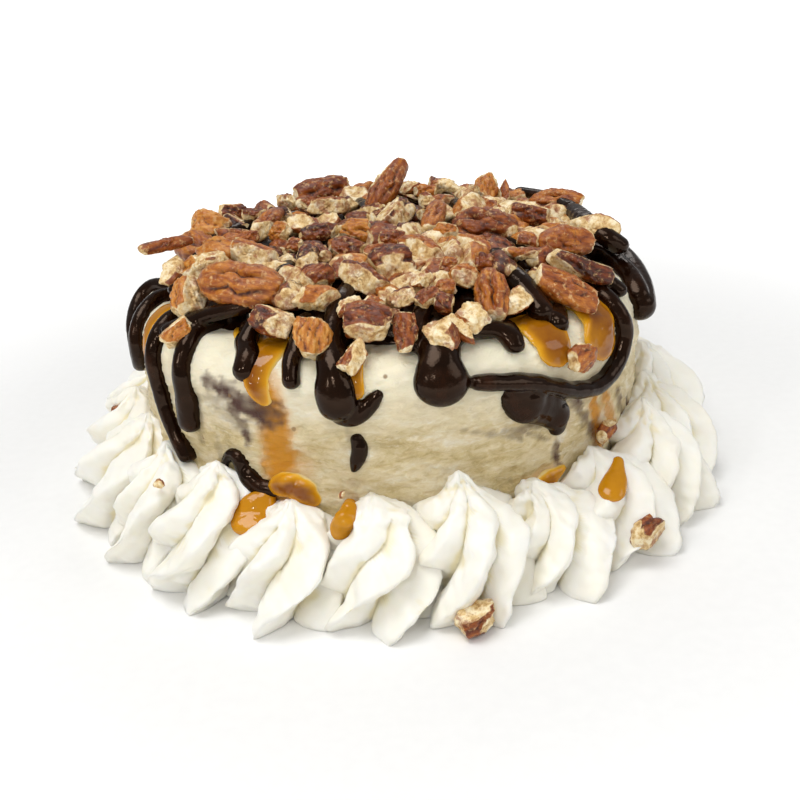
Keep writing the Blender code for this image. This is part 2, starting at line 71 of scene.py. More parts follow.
rightAxis, upAxis, aheadAxis = cameraAxes(cameraView)
cameraData = bpy.data.cameras.new("photoCamera")
cameraData.sensor_width = 36.0
cameraData.lens = 36.0 * cameraView["focalPixels"] / cameraView["imageSize"]
cameraData.clip_start = 0.01
photoCamera = bpy.data.objects.new("photoCamera", cameraData)
bpy.context.scene.collection.objects.link(photoCamera)
turned = Matrix((rightAxis, upAxis, -aheadAxis)).transposed().to_4x4()
photoCamera.matrix_world = Matrix.Translation(Vector(cameraView["place"]) * mm) @ turned
bpy.context.scene.camera = photoCamera
cameraPlace = np.array(cameraView["place"])
rightAxis, upAxis, aheadAxis = np.array(rightAxis), np.array(upAxis), np.array(aheadAxis)


def pixelRay(x, y):
    middle, focal = cameraView["imageSize"] / 2, cameraView["focalPixels"]
    ray = aheadAxis + rightAxis * (x - middle) / focal - upAxis * (y - middle) / focal
    return ray / np.linalg.norm(ray)


print("camera set")


# shared small tools
def toLinear(hexColour):
    parts = [int(hexColour[i:i + 2], 16) / 255 for i in (1, 3, 5)]
    return tuple(c / 12.92 if c <= 0.04045 else ((c + 0.055) / 1.055) ** 2.4 for c in parts) + (1.0,)


def setInputs(node, inputs):
    # each value is a number, a hex colour, a node's output, or a node, which stands for its main output
    for key, value in dict(inputs).items():
        if isinstance(value, bpy.types.Node):
            mixesColour = value.bl_idname == "ShaderNodeMix" and value.data_type == "RGBA"
            value = value.outputs[2 if mixesColour else 0]
        if isinstance(value, bpy.types.NodeSocket):
            node.id_data.links.new(value, node.inputs[key])
        else:
            node.inputs[key].default_value = toLinear(value) if isinstance(value, str) else value


def addNode(tree, kind, inputs=(), **settings):
    node = tree.nodes.new("ShaderNode" + kind)
    for key, value in settings.items():
        if key == "stops":  # a ramp's places and colours
            while len(node.color_ramp.elements) < len(value):
                node.color_ramp.elements.new(0.5)
            for element, (place, hexColour) in zip(node.color_ramp.elements, value):
                element.position = place
                element.color = toLinear(hexColour)
        else:
            setattr(node, key, value)
    setInputs(node, inputs)
    return node


def newMaterial(name):
    # a material, what adds a node to it, its shader and the place on the piece
    material = bpy.data.materials.new(name)
    material.use_nodes = True
    add = partial(addNode, material.node_tree)
    return material, add, material.node_tree.nodes["Principled BSDF"], add("TexCoord").outputs["Object"]


def waves(points, size, seed, count=12):
    # smooth bumps about as wide as size, from -1 to 1 or so
    chance = np.random.default_rng(seed)
    ways = chance.normal(size=(count, 3))
    ways /= np.linalg.norm(ways, axis=1)[:, None]
    ways *= (math.tau / size * chance.uniform(0.6, 1.5, count))[:, None]
    return np.sin(points @ ways.T + chance.uniform(0, math.tau, count)).sum(1) / math.sqrt(count)


def softStep(low, high, values):
    share = np.clip((values - low) / (high - low), 0, 1)
    return share * share * (3 - 2 * share)


def smoothCurve(points, steps):
    # a smooth curve through the points, with several steps in each stretch
    points = np.asarray(points, float)
    last = len(points) - 1
    curve = []
    for i in range(last):
        a, b, c, d = points[max(0, i - 1)], points[i], points[i + 1], points[min(last, i + 2)]
        for t in np.arange(steps) / steps:
            cubic = (2 * a - 5 * b + 4 * c - d) * t ** 2 + (3 * b - a - 3 * c + d) * t ** 3
            curve.append(0.5 * (2 * b + (c - a) * t + cubic))
    curve.append(points[-1])
    return np.array(curve)


def outFrom(azimuth, rise=0.0):
    # straight out from the cake's middle at an azimuth in degrees
    turn = math.radians(azimuth)
    return np.array((math.cos(turn), math.sin(turn), rise))


def turnTo(ahead, facing):
    # axes of a piece that lies along ahead and shows its upper side to facing
    ahead = ahead / np.linalg.norm(ahead)
    facing = facing - ahead * (facing @ ahead)
    facing = facing / np.linalg.norm(facing)
    return np.array((ahead, np.cross(facing, ahead), facing))


def read(mesh, name):
    values = np.zeros(len(mesh.vertices) * 3)
    mesh.vertices.foreach_get(name, values)
    return values.reshape(-1, 3)


def places(mesh):
    return read(mesh, "co")


def normals(mesh):
    return read(mesh, "normal")


def movePoints(mesh, points):
    mesh.vertices.foreach_set("co", np.asarray(points, np.float32).ravel())
    mesh.update()


def store(mesh, name, values):
    layer = mesh.attributes.get(name) or mesh.attributes.new(name, "FLOAT", "POINT")
    layer.data.foreach_set("value", np.asarray(values, np.float32))


def hollows(mesh, rounds):
    # how deep each point lies below its smoothed surroundings, in millimetres
    edges = np.zeros(len(mesh.edges) * 2, int)
    mesh.edges.foreach_get("vertices", edges)
    a, b = edges.reshape(-1, 2).T
    points, outward = places(mesh), normals(mesh)
    count = np.bincount(np.concatenate((a, b)), minlength=len(points))[:, None]
    smooth = points.copy()
    for _ in range(rounds):
        total = np.zeros_like(smooth)
        for axis in range(3):
            near = smooth[:, axis]
            total[:, axis] = np.bincount(a, near[b], len(points)) + np.bincount(b, near[a], len(points))
        smooth = total / np.maximum(count, 1)
    return ((smooth - points) * outward).sum(1)


def meshFrom(name, bm):
    mesh = bpy.data.meshes.new(name)
    bm.to_mesh(mesh)
    bm.free()
    return mesh


def pieceFrom(mesh, material, slotName, *nodes):
    # the finished piece: in metres, smooth, riding on the cake
    mesh.transform(Matrix.Scale(mm, 4))
    mesh.shade_smooth()
    mesh.materials.clear()
    mesh.materials.append(material)
    piece = bpy.data.objects.new(mesh.name, mesh)
    bpy.context.scene.collection.objects.link(piece)
    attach(piece, "root")
    if nodes:
        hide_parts(*nodes)
    return piece


def melted(mesh, voxel, rounds):
    # joins overlapping blobs into one skin and smooths it
    holder = bpy.data.objects.new("holder", mesh)
    bpy.context.scene.collection.objects.link(holder)
    remesh = holder.modifiers.new("join", "REMESH")
    remesh.mode = "VOXEL"
    remesh.voxel_size = voxel
    smooth = holder.modifiers.new("soften", "SMOOTH")
    smooth.factor = 0.5
    smooth.iterations = rounds
    bpy.context.view_layer.update()
    joined = bpy.data.meshes.new_from_object(holder.evaluated_get(bpy.context.evaluated_depsgraph_get()))
    name = mesh.name
    bpy.data.objects.remove(holder)
    bpy.data.meshes.remove(mesh)
    joined.name = name
    return joined


def seenBlobs(routes, carriers):
    # blobs of sauce on what the camera sees along routes of pixels: half width and thickness in millimetres
    trees = []
    for piece in carriers:
        corners = [Vector(point) for point in places(piece.data) / mm]
        trees.append(BVHTree.FromPolygons(corners, [tuple(face.vertices) for face in piece.data.polygons]))
    blobs = []
    for stops in routes:
        for x, y, half, thick in smoothCurve(stops, 6):
            hits = [tree.ray_cast(Vector(cameraPlace), Vector(pixelRay(x, y))) for tree in trees]
            point, outward, _, _ = min((hit for hit in hits if hit[0]), key=lambda hit: hit[3])
            axes = turnTo(np.array((1.0, 0.2, 0.1)), np.array(outward))
            blobs.append((np.array(point), axes * np.array((half, half, thick))[:, None]))
    return blobs


# the block of ice cream
cakeShape = {
    "radius": 71.5,
    "footRadius": 69.5,
    "height": 60.0,
    "rim": 9.0,
    "turns": 520,
    "sideStep": 0.55,
    "footRings": (0.0, 35.0, 68.5),
    "footEdge": 0.4,
    "rimSteps": 20,
    "topSteps": (2, 4, 6, 9, 13, 20, 35, 62.5),  # how far in from the rim the top's rings lie
    "stretch": (1, 1, 1.8),  # the scraping runs round the cake
    "swerve": (30, 4),  # how wide its swerves are and how far they go
    "smear": (22, 0.50),  # how wide the scraped waves are and how far they stand out
    "scrape": (7, 0.22),
    "pock": (2.2, 0.12),
    "ledges": ((16, 8, 0.35), (9, 9, 0.28), (6, 10, 0.22)),  # width, seed and lift of the knife's edges
    "inset": 0.35,  # how far the skin lies under the plain form, so that its relief stays near it
}
shoulder = cakeShape["height"] - cakeShape["rim"]
topFlat = cakeShape["radius"] - cakeShape["rim"]
sideTop = topFlat + cakeShape["rim"] * math.pi / 2


def sideRadius(height):
    return cakeShape["footRadius"] + (cakeShape["radius"] - cakeShape["footRadius"]) * height / shoulder


def skin(azimuth, reach):
    # a point on the cake and the way out of it: reach is its way along the skin from the top's middle
    around, above = outFrom(azimuth), np.array((0.0, 0.0, 1.0))
    if reach <= topFlat:
        return around * reach + above * cakeShape["height"], above
    if reach <= sideTop:
        lean = math.pi / 2 - (reach - topFlat) / cakeShape["rim"]
        outward = around * math.cos(lean) + above * math.sin(lean)
        return around * topFlat + above * shoulder + outward * cakeShape["rim"], outward
    height = shoulder - (reach - sideTop)
    return around * sideRadius(height) + above * height, around


def meetRound(ray, radius, side):
    # where a ray from the camera crosses an upright cylinder round the cake's middle: side is -1 for its
    # front and 1 for its back
    flat, start = ray[:2], cameraPlace[:2]
    along = start @ flat
    room = along ** 2 - (flat @ flat) * (start @ start - radius ** 2)
    return cameraPlace + ray * ((side * math.sqrt(max(0.0, room)) - along) / (flat @ flat))


def onSide(x, y):
    # where a pixel of the photograph meets the cake's side
    radius = 70.5
    for _ in range(4):
        point = meetRound(pixelRay(x, y), radius, -1)
        radius = sideRadius(min(shoulder, max(0.0, point[2])))
    return point


# marks on the side: two pixels of the photograph, half width in millimetres and strength
fudgeSwirls = (
    (204, 380, 228, 393, 2.2, 0.9), (224, 390, 246, 404, 3.2, 1.0), (238, 402, 268, 412, 4.2, 1.0),
    (244, 406, 262, 420, 3.8, 1.0), (236, 412, 248, 441, 2.2, 0.9), (212, 396, 236, 420, 3.4, 0.40),
    (466, 431, 520, 438, 0.9, 0.45), (505, 432, 562, 418, 1.0, 0.55),
    (520, 430, 548, 440, 0.8, 0.5), (556, 446, 559, 466, 1.3, 0.8), (575, 398, 592, 432, 1.8, 0.75),
    (592, 425, 600, 462, 1.4, 0.6), (618, 392, 622, 425, 1.6, 0.7), (630, 396, 634, 424, 1.3, 0.8),
    (196, 395, 202, 440, 1.5, 0.35), (215, 440, 222, 470, 1.2, 0.3), (340, 404, 350, 440, 1.0, 0.25),
    (441, 502, 470, 512, 1.0, 0.25), (505, 500, 540, 492, 1.2, 0.35),
)
caramelStains = (
    (595, 400, 599, 442, 2.6, 1.0), (607, 398, 613, 432, 2.6, 0.8), (264, 388, 273, 425, 4.8, 1.0),
    (273, 420, 277, 455, 5.6, 1.0), (277, 450, 284, 486, 5.8, 1.0), (270, 440, 300, 470, 5.0, 0.30),
    (556, 472, 530, 486, 3.0, 0.5), (622, 430, 626, 480, 2.0, 0.6),
)
# round dents in the side: pixel, radius and depth in millimetres
dents = (
    (507, 476, 3.6, 0.7), (355, 484, 1.9, 0.8), (513, 483, 0.9, 0.6), (504, 497, 0.9, 0.5),
    (300, 430, 1.6, 0.4), (430, 470, 1.5, 0.4), (395, 440, 2.0, 0.35), (460, 492, 1.4, 0.5),
    (322, 470, 1.2, 0.4), (415, 505, 1.6, 0.4), (545, 470, 1.6, 0.5), (470, 455, 1.2, 0.4),
    (245, 470, 1.4, 0.5),
)
iceCreamLook = {
    # a noise's scale is waves in a metre, so 55 is a patch every 18 mm and 260 a flake every 4 mm
    "patches": {"Scale": 55.0, "Detail": 5.0, "Roughness": 0.6, "Distortion": 1.2},
    "flakes": {"Scale": 260.0, "Detail": 6.0, "Roughness": 0.75, "Distortion": 0.6},
    "scratches": {"Scale": 62.0, "Detail": 6.0, "Roughness": 0.72, "Distortion": 1.4},
    "specks": {"Scale": 150.0, "Randomness": 1.0},
    "cream": ((0.36, "#BBA36D"), (0.45, "#D6C291"), (0.54, "#E6D5AE"), (0.64, "#F3EAD3")),
    # over it lie painted light that pales the upper side and top, painted highlights along the scratches,
    # caramel that has soaked in, swirls of fudge and specks
    "layers": ("#FFF6DC", "#FCF4E0", "#CF8B18", "#4C2A1E", "#94703F"),
}


def strokeShare(points, strokes, ragged):
    # how strongly the strokes cover each point
    cover = np.zeros(len(points))
    for x0, y0, x1, y1, half, strength in strokes:
        start, end = onSide(x0, y0), onSide(x1, y1)
        way = end - start
        share = np.clip((points - start) @ way / (way @ way), 0, 1)
        apart = np.linalg.norm(points - start - share[:, None] * way, axis=1) + ragged * half * 0.45
        cover = np.maximum(cover, strength * (1 - softStep(half * 0.35, half * 1.25, apart)))
    return cover


def iceCreamMaterial():
    # vanilla ice cream, scraped round with a warm palette knife: soft and waxy, paler where the knife has
    # drawn it smooth, duller and faintly tan where it has melted, with the light going into it.
    # Painted light makes its upper side and top paler, and the pale lines along its scratches are painted
    # highlights
    look = iceCreamLook
    material, add, shader, place = newMaterial("scrapedVanillaIceCream")
    stretched = add("Mapping", {"Vector": place, "Scale": (1.0, 1.0, 2.2)})
    combed = add("Mapping", {"Vector": place, "Scale": (1.0, 1.0, 4.5)})
    patches = add("TexNoise", {"Vector": stretched, **look["patches"]})
    flakes = add("TexNoise", {"Vector": stretched, **look["flakes"]})
    scratches = add("TexNoise", {"Vector": combed, **look["scratches"]})
    specks = add("TexVoronoi", {"Vector": place, **look["specks"]}, feature="F1")
    height = add("SeparateXYZ", {0: place}).outputs[2]
    # painted light: the upper side and top are painted paler, as the light from above falls on them
    paintedTopLight = add("MapRange", {"Value": height, "From Min": 0.040, "From Max": 0.056, "To Max": 0.85})
    # painted highlight: thin pale lines along the scratches
    highlightPaling = {"From Min": 0.57, "From Max": 0.68, "To Max": 0.55}
    scratchHighlight = add("MapRange", {"Value": scratches, **highlightPaling})
    fading = {"From Min": 0.06, "From Max": 0.11, "To Min": 0.8, "To Max": 0.0}
    speck = add("MapRange", {"Value": specks, **fading})
    stain = add("Attribute", attribute_name="stain").outputs["Fac"]
    swirl = add("Attribute", attribute_name="swirl").outputs["Fac"]
    blotch = add("Mix", {0: 0.45, 2: patches, 3: flakes}, data_type="FLOAT")
    colour = add("ValToRGB", {0: blotch}, stops=look["cream"])
    for share, over in zip((paintedTopLight, scratchHighlight, stain, swirl, speck), look["layers"]):
        colour = add("Mix", {0: share, 6: colour, 7: over}, data_type="RGBA")
    scored = add("Bump", {"Strength": 0.2, "Distance": 0.0014, "Height": scratches})
    flaky = {"Strength": 0.6, "Distance": 0.0016, "Height": flakes, "Normal": scored}
    gloss = add("MapRange", {"Value": patches, "To Min": 0.55, "To Max": 0.30})
    wet = add("Mix", {0: stain, 2: gloss, 3: 0.14}, data_type="FLOAT")
    finish = {
        "Base Color": colour, "Roughness": wet, "Normal": add("Bump", flaky),
        "Subsurface Weight": 0.25, "Subsurface Radius": (1.0, 0.75, 0.45), "Subsurface Scale": 0.003,
        "Specular IOR Level": 0.45,
    }
    setInputs(shader, finish)
    return material


def makeIceCream():
    rim = cakeShape["rim"]
    profile = [(radius, 0.0) for radius in cakeShape["footRings"]]
    steps = int(shoulder / cakeShape["sideStep"])
    profile += [(sideRadius(h), h) for h in np.linspace(cakeShape["footEdge"], shoulder, steps)]
    for lean in np.linspace(0, math.pi / 2, cakeShape["rimSteps"])[1:]:
        profile.append((topFlat + rim * math.cos(lean), shoulder + rim * math.sin(lean)))
    profile += [(topFlat - inward, cakeShape["height"]) for inward in cakeShape["topSteps"]]
    bm = bmesh.new()
    verts = [bm.verts.new((radius, 0, height)) for radius, height in profile]
    edges = [bm.edges.new(pair) for pair in zip(verts, verts[1:])]
    turns, axis = cakeShape["turns"], (0, 0, 1)
    bmesh.ops.spin(
        bm, geom=verts + edges, cent=(0, 0, 0), axis=axis, angle=math.tau, steps=turns, use_merge=True
    )
    bmesh.ops.remove_doubles(bm, verts=bm.verts, dist=1e-4)
    bmesh.ops.recalc_face_normals(bm, faces=bm.faces)
    mesh = meshFrom("iceCreamBlock", bm)
    points, outward = places(mesh), normals(mesh)
    swerveSize, swerve = cakeShape["swerve"]
    warped = points * cakeShape["stretch"] + waves(points, swerveSize, 1)[:, None] * swerve
    smearSize, smear = cakeShape["smear"]
    scrapeSize, scrape = cakeShape["scrape"]
    pockSize, pock = cakeShape["pock"]
    scrapes = np.abs(waves(warped * (0.7, 0.7, 1.5), scrapeSize, 3)) - 0.5
    relief = smear * waves(warped, smearSize, 2) + scrape * scrapes + pock * waves(points, pockSize, 4)
    for size, seed, lift in cakeShape["ledges"]:
        ledge = np.abs(waves(warped * (0.6, 0.6, 1.3), size, seed))
        relief += lift * softStep(0.12, 0.02, ledge)
    onTheSide = softStep(0.3, 6, points[:, 2]) * (1 - 0.55 * softStep(46, 58, points[:, 2]))
    relief = relief * onTheSide - cakeShape["inset"]
    for x, y, radius, depth in dents:
        apart = np.linalg.norm(points - onSide(x, y), axis=1) / radius
        lip = 0.25 * depth * np.exp(-((apart - 1.15) / 0.22) ** 2)
        relief -= depth * (1 - softStep(0.55, 1.05, apart)) - lip
    relief[points[:, 2] < cakeShape["footEdge"] / 2] = 0
    movePoints(mesh, points + outward * relief[:, None])
    ragged = 0.7 * waves(points, 4.0, 5) + 0.35 * waves(points, 2.2, 6)
    swirls = strokeShare(points, fudgeSwirls, ragged) * (0.9 + 0.2 * waves(points, 3.4, 7))
    store(mesh, "swirl", np.clip(swirls, 0, 1))
    store(mesh, "stain", strokeShare(points, caramelStains, 0.4 * ragged))
    return pieceFrom(mesh, iceCreamMaterial(), "ice_cream", "ice_cream")


iceCream = makeIceCream()
print("ice cream made")

# sauce: start and end half width, how far it stands proud, and its route in azimuth and reach
fudgeRuns = (
    (2.2, 2.0, 3.2, ((-173, 56), (-175, 62), (-178, 67), (-176, 72), (-170, 76), (-166, 81), (-165, 87))),
    (2.3, 2.0, 3.2, ((-167, 54), (-167, 60), (-166, 64), (-163, 68), (-160, 74), (-160, 80), (-163, 85))),
    (2.4, 2.2, 3.6, ((-152, 54), (-150, 60), (-149, 65), (-147, 72), (-146, 80), (-144, 90), (-138, 102))),
    (2.5, 3.7, 3.8, ((-137, 53), (-138, 60), (-138, 63), (-136, 69), (-135, 80), (-136, 92))),
    (2.9, 3.2, 3.8, ((-131, 51), (-124, 60), (-122, 64), (-119, 68), (-119, 74))),
    (2.1, 2.4, 3.4, ((-111, 55), (-110, 60), (-110, 64), (-109, 69), (-108, 75))),
    (3.9, 5.4, 4.6, ((-103, 54), (-102, 60), (-101, 65), (-100, 73), (-99, 81))),
    (4.8, 7.2, 5.4, ((-78, 53), (-78, 60), (-79, 65), (-80, 71), (-80, 79))),
    (
        2.8, 2.1, 3.8,
        (
            (-7, 40), (-13, 46), (-24, 56), (-29, 62), (-32, 66), (-33, 70), (-33, 77), (-36, 83),
            (-43, 86), (-51, 84), (-58, 80), (-64, 77), (-75, 74.5),
        ),
    ),
    (2.6, 3.0, 3.8, ((-62, 54), (-63, 60), (-63, 64), (-64, 70))),
    (2.8, 3.0, 3.8, ((-44, 50), (-46, 60), (-49, 64), (-53, 69))),
    (3.6, 4.4, 5.2, ((14, 55), (9, 60), (4, 64), (-5, 68), (-14, 72), (-21, 77))),
    (2.4, 2.8, 4.4, ((2, 58), (-3, 62), (-11, 66), (-17, 70), (-21, 74))),
)
# fudge and caramel on the side: pixels of the photograph, half width and thickness in millimetres
sideFudge = (
    (
        (227, 477, 1.1, 1.4), (225, 464, 1.2, 1.6), (230, 455, 1.5, 2.0), (238, 456, 1.9, 2.3),
        (244, 467, 2.4, 2.6), (252, 479, 2.9, 2.9), (262, 487, 3.0, 2.9), (272, 489, 2.2, 2.3),
    ),
    ((251, 484, 2.5, 2.2), (253, 494, 2.2, 2.0), (255, 502, 1.6, 1.5)),
    ((357, 439, 1.8, 1.7), (360, 449, 2.2, 1.9), (357, 461, 1.9, 1.6), (354, 469, 1.1, 1.0)),
    (
        (342, 414, 2.8, 2.6), (352, 417, 2.5, 2.4), (362, 412, 2.4, 2.2), (371, 403, 2.2, 1.9),
        (378, 395, 1.5, 1.3),
    ),
    (
        (514, 398, 3.8, 2.5), (522, 404, 4.7, 2.6), (534, 406, 4.7, 2.6), (545, 409, 4.5, 2.6),
        (554, 413, 4.2, 2.5),
    ),
    ((553, 412, 4.0, 2.5), (555, 419, 3.4, 2.3), (556, 426, 2.6, 1.8)),
)
sideCaramel = (
    (
        (276, 338, 5.8, 1.1), (269, 350, 5.0, 1.3), (261, 364, 4.0, 1.5), (258, 378, 3.8, 1.4),
        (261, 389, 3.3, 1.3), (265, 397, 2.4, 1.2),
    ),
    (
        (277, 486, 2.4, 1.2), (285, 484, 3.4, 1.4), (296, 486, 3.7, 1.5), (307, 492, 3.4, 1.4),
        (314, 499, 2.3, 1.1),
    ),
    ((623, 424, 2.2, 0.9), (622, 436, 2.1, 1.0), (620, 448, 1.6, 1.0)),
    ((562, 468, 1.2, 1.0), (554, 474, 2.0, 1.3), (546, 480, 2.7, 1.5), (538, 486, 2.2, 1.2)),
)
# the far side has drips of the same kinds: azimuth, reach of the lower end and half width
backFudge = (
    (28, 88, 3.0), (49, 82, 4.2), (68, 97, 2.4), (88, 80, 5.0), (109, 91, 3.0), (131, 84, 3.8),
    (150, 99, 2.5),
)
backCaramel = ((38, 92, 4.4), (79, 86, 3.2), (119, 100, 4.6), (162, 84, 3.4))
caramelRuns = (
    (8.2, 6.6, 1.2, ((-124, 54), (-120, 60), (-117, 64))),
    (3.0, 2.4, 1.2, ((-158, 62), (-155, 68), (-152, 75), (-151, 80))),
    (2.2, 2.0, 1.2, ((-97, 62), (-96, 70), (-96, 76))),
    (7.0, 5.0, 1.3, ((-55, 57), (-55, 65), (-55, 71), (-56, 77))),
    (6.0, 6.6, 1.3, ((-38, 57), (-39, 66), (-42, 74), (-44, 80))),
    (3.2, 5.2, 2.6, ((-118.5, 104), (-119, 107), (-119.5, 111))),
)
pourShape = {
    "steps": 14,  # places in each stretch of a route
    "seat": 0.15,  # share of the relief at which the blobs' middles lie
    "swellFrom": 0.45,  # share of the way at which a drip starts to swell
    "unevenness": 0.06,
    "spacing": 0.22,  # of the blobs, as a share of their half width
    "endGap": 0.75,
    "fudgeRelief": 4.2,  # of the drips on the far side
    "caramelRelief": 1.3,
    "fudgeSkin": (0.60, 6),  # how fine the skin over the blobs is and how often it is smoothed
    "caramelSkin": (0.5, 5),
    "dropSkin": (0.35, 8),
    "caramelGlow": 1.4,  # millimetres of caramel after which it darkens little more
}


def pour(blobs, startHalf, endHalf, relief, stops):
    # a run of sauce as overlapping blobs, seated in the skin: adds each blob's middle and axes
    spots = [skin(azimuth, reach) for azimuth, reach in smoothCurve(stops, pourShape["steps"])]
    stretches = [np.linalg.norm(there[0] - here[0]) for here, there in zip(spots, spots[1:])]
    lengths = np.concatenate(([0.0], np.cumsum(stretches)))
    seat, previous = pourShape["seat"], -9.0
    for i, (point, outward) in enumerate(spots):
        share = lengths[i] / lengths[-1]
        swell = softStep(pourShape["swellFrom"], 1.0, share) if endHalf > startHalf else share
        half = startHalf + (endHalf - startHalf) * swell
        half *= 1 + pourShape["unevenness"] * math.sin(lengths[i] * 0.9 + startHalf * 7)
        nearEnd = lengths[-1] - lengths[i] < half * pourShape["endGap"]
        if nearEnd or lengths[i] - previous < half * pourShape["spacing"]:
            continue
        previous = lengths[i]
        ahead = spots[min(i + 1, len(spots) - 1)][0] - spots[max(i - 1, 0)][0]
        ahead /= np.linalg.norm(ahead)
        across = np.cross(ahead, outward)
        thick = relief * (1 - seat) * (0.88 + 0.12 * swell)
        axes = np.array((across * half, outward * thick, ahead * half * 0.9))
        blobs.append((point + outward * relief * seat, axes))


def pourAll(runs, behind, relief):
    blobs = []
    for run in runs:
        pour(blobs, *run)
    for azimuth, reach, half in behind:  # these start a little round from where they end
        start = ((azimuth + 5, 54), (azimuth + 3, 60), (azimuth + 1, 66))
        pour(blobs, half * 0.8, half, relief, start + ((azimuth, 76), (azimuth, reach)))
    return blobs


def blobMesh(name, blobs):
    # every blob is a copy of one ball, stretched to its axes
    bm = bmesh.new()
    bmesh.ops.create_icosphere(bm, subdivisions=3, radius=1.0)
    ball = meshFrom("ball", bm)
    points = places(ball)
    bm = bmesh.new()
    for _ in blobs:
        bm.from_mesh(ball)
    mesh = meshFrom(name, bm)
    movePoints(mesh, np.concatenate([points @ axes + middle for middle, axes in blobs]))
    bpy.data.meshes.remove(ball)
    return mesh


def nearest(points, blobs):
    # how far out from the middle of its nearest blob each point lies, as a share of that blob's half width
    closest = np.full(len(points), 1.0)
    for middle, axes in blobs:
        closest = np.minimum(closest, np.linalg.norm(points - middle, axis=1) / np.linalg.norm(axes[0]))
    return closest


def fudgeMaterial():
    # dark chocolate fudge, poured warm and set by the cold: nearly black brown, thick and glossy, with a
    # faint skin that softens the lights in it here and there
    material, add, shader, place = newMaterial("setChocolateFudge")
    skinNoise = add("TexNoise", {"Vector": place, "Scale": 140.0, "Detail": 4.0, "Roughness": 0.6})
    darkness = ((0.35, "#0F0502"), (0.55, "#180903"), (0.75, "#2C1408"))
    dulling = {"From Min": 0.3, "From Max": 0.75, "To Min": 0.07, "To Max": 0.26}
    ripple = add("TexNoise", {"Vector": place, "Scale": 240.0, "Detail": 4.0})
    finish = {
        "Base Color": add("ValToRGB", {0: skinNoise}, stops=darkness),
        "Roughness": add("MapRange", {"Value": skinNoise, **dulling}),
        "Normal": add("Bump", {"Strength": 0.35, "Distance": 0.0008, "Height": ripple}),
        "Specular IOR Level": 0.26, "Specular Tint": "#FFD9BC",
    }
    setInputs(shader, finish)
    return material


def caramelMaterial():
    # butterscotch caramel, a thin clear layer over cream: golden yellow where the cream shines through,
    # deep amber where it is thick, and wet
    material, add, shader, place = newMaterial("runnyCaramel")
    depth = add("Attribute", attribute_name="depth").outputs["Fac"]
    cloud = add("TexNoise", {"Vector": place, "Scale": 85.0, "Detail": 5.0, "Roughness": 0.6})
    mixed = add("Math", {0: cloud, 1: 0.36, 2: depth}, operation="MULTIPLY_ADD")
    amber = ((0.15, "#E8D49A"), (0.24, "#E8B845"), (0.38, "#DA9B1B"), (0.58, "#C2820E"), (0.90, "#84490A"))
    ripple = add("TexNoise", {"Vector": place, "Scale": 160.0, "Detail": 3.0})
    finish = {
        "Base Color": add("ValToRGB", {0: mixed}, stops=amber),
        "Normal": add("Bump", {"Strength": 0.35, "Distance": 0.0012, "Height": ripple}),
        "Roughness": 0.08, "Specular IOR Level": 0.35,
    }
    setInputs(shader, finish)
    return material


fudge, caramel = fudgeMaterial(), caramelMaterial()

# fudge that lies over the top between the nuts: pixels of the photograph along it, and its half width
topRopes = (
    (2.6, ((432, 262), (462, 247), (505, 243), (548, 252), (588, 268), (618, 290))),
    (3.4, ((493, 250), (505, 268), (522, 285), (540, 310))),
    (3.2, ((575, 212), (600, 232), (618, 245))),
    (2.6, ((170, 330), (205, 316), (250, 304), (300, 284))),
    (2.8, ((330, 345), (334, 320), (342, 300), (352, 286))),
    (2.4, ((176, 290), (215, 240), (262, 222), (300, 216))),
    (2.6, ((350, 196), (362, 204), (372, 216))),
    (2.4, ((442, 194), (458, 206), (470, 222))),
    (2.4, ((410, 345), (416, 325), (424, 308))),
    (2.6, ((270, 300), (284, 272), (300, 252))),
    (2.2, ((520, 192), (545, 196), (570, 206))),
    (2.6, ((440, 350), (452, 340), (470, 330), (500, 330), (515, 345))),
    (2.4, ((296, 352), (300, 335), (306, 320))),
    (2.4, ((246, 340), (254, 325), (262, 312))),
)
heapShape = {
    "plateau": 12.5,
    "plateauRadius": 45.0,
    "radius": 69.0,
    "edgeDrop": 11.0,
    "bedRadius": 60.0,
    "bedDepth": 5.2,  # how far the fudge under the nuts lies below their middles
    "bedLumps": ((1.0, 11, 22), (0.35, 4, 23)),  # height, width and seed
    "ropeLift": -3.0,  # how far the ropes of fudge lie over the middles of the nuts
    "backEdge": 57.0,  # how far out what stands up at the back is
}


def heapHeight(radius):
    level = heapShape["plateauRadius"]
    fall = np.maximum(0.0, radius - level) / (heapShape["radius"] - level)
    return cakeShape["height"] + heapShape["plateau"] - heapShape["edgeDrop"] * fall ** 2


def onHeap(x, y, lift=0.0):
    # where a pixel of the photograph meets the middles of the upper nuts
    ray = pixelRay(x, y)
    height = 70.0
    for _ in range(25):
        point = cameraPlace + ray * (height - cameraPlace[2]) / ray[2]
        wanted = max(61.0, heapHeight(math.hypot(point[0], point[1]))) + lift
        height += 0.5 * (wanted - height)
    if point[1] > 0 and math.hypot(point[0], point[1]) > heapShape["backEdge"]:
        point = meetRound(ray, heapShape["backEdge"], 1)
    return point


def makeFudge():
    blobs = pourAll(fudgeRuns, backFudge, pourShape["fudgeRelief"])
    for half, pixels in topRopes:
        route = smoothCurve([onHeap(x, y, heapShape["ropeLift"]) for x, y in pixels], 8)
        blobs += [(point, np.diag((half, half, half * 0.8))) for point in route]
    blobs += seenBlobs(sideFudge, [iceCream])
    mesh = melted(blobMesh("fudgeSauce", blobs), *pourShape["fudgeSkin"])
    pieceFrom(mesh, fudge, "ice_cream", "ice_cream")


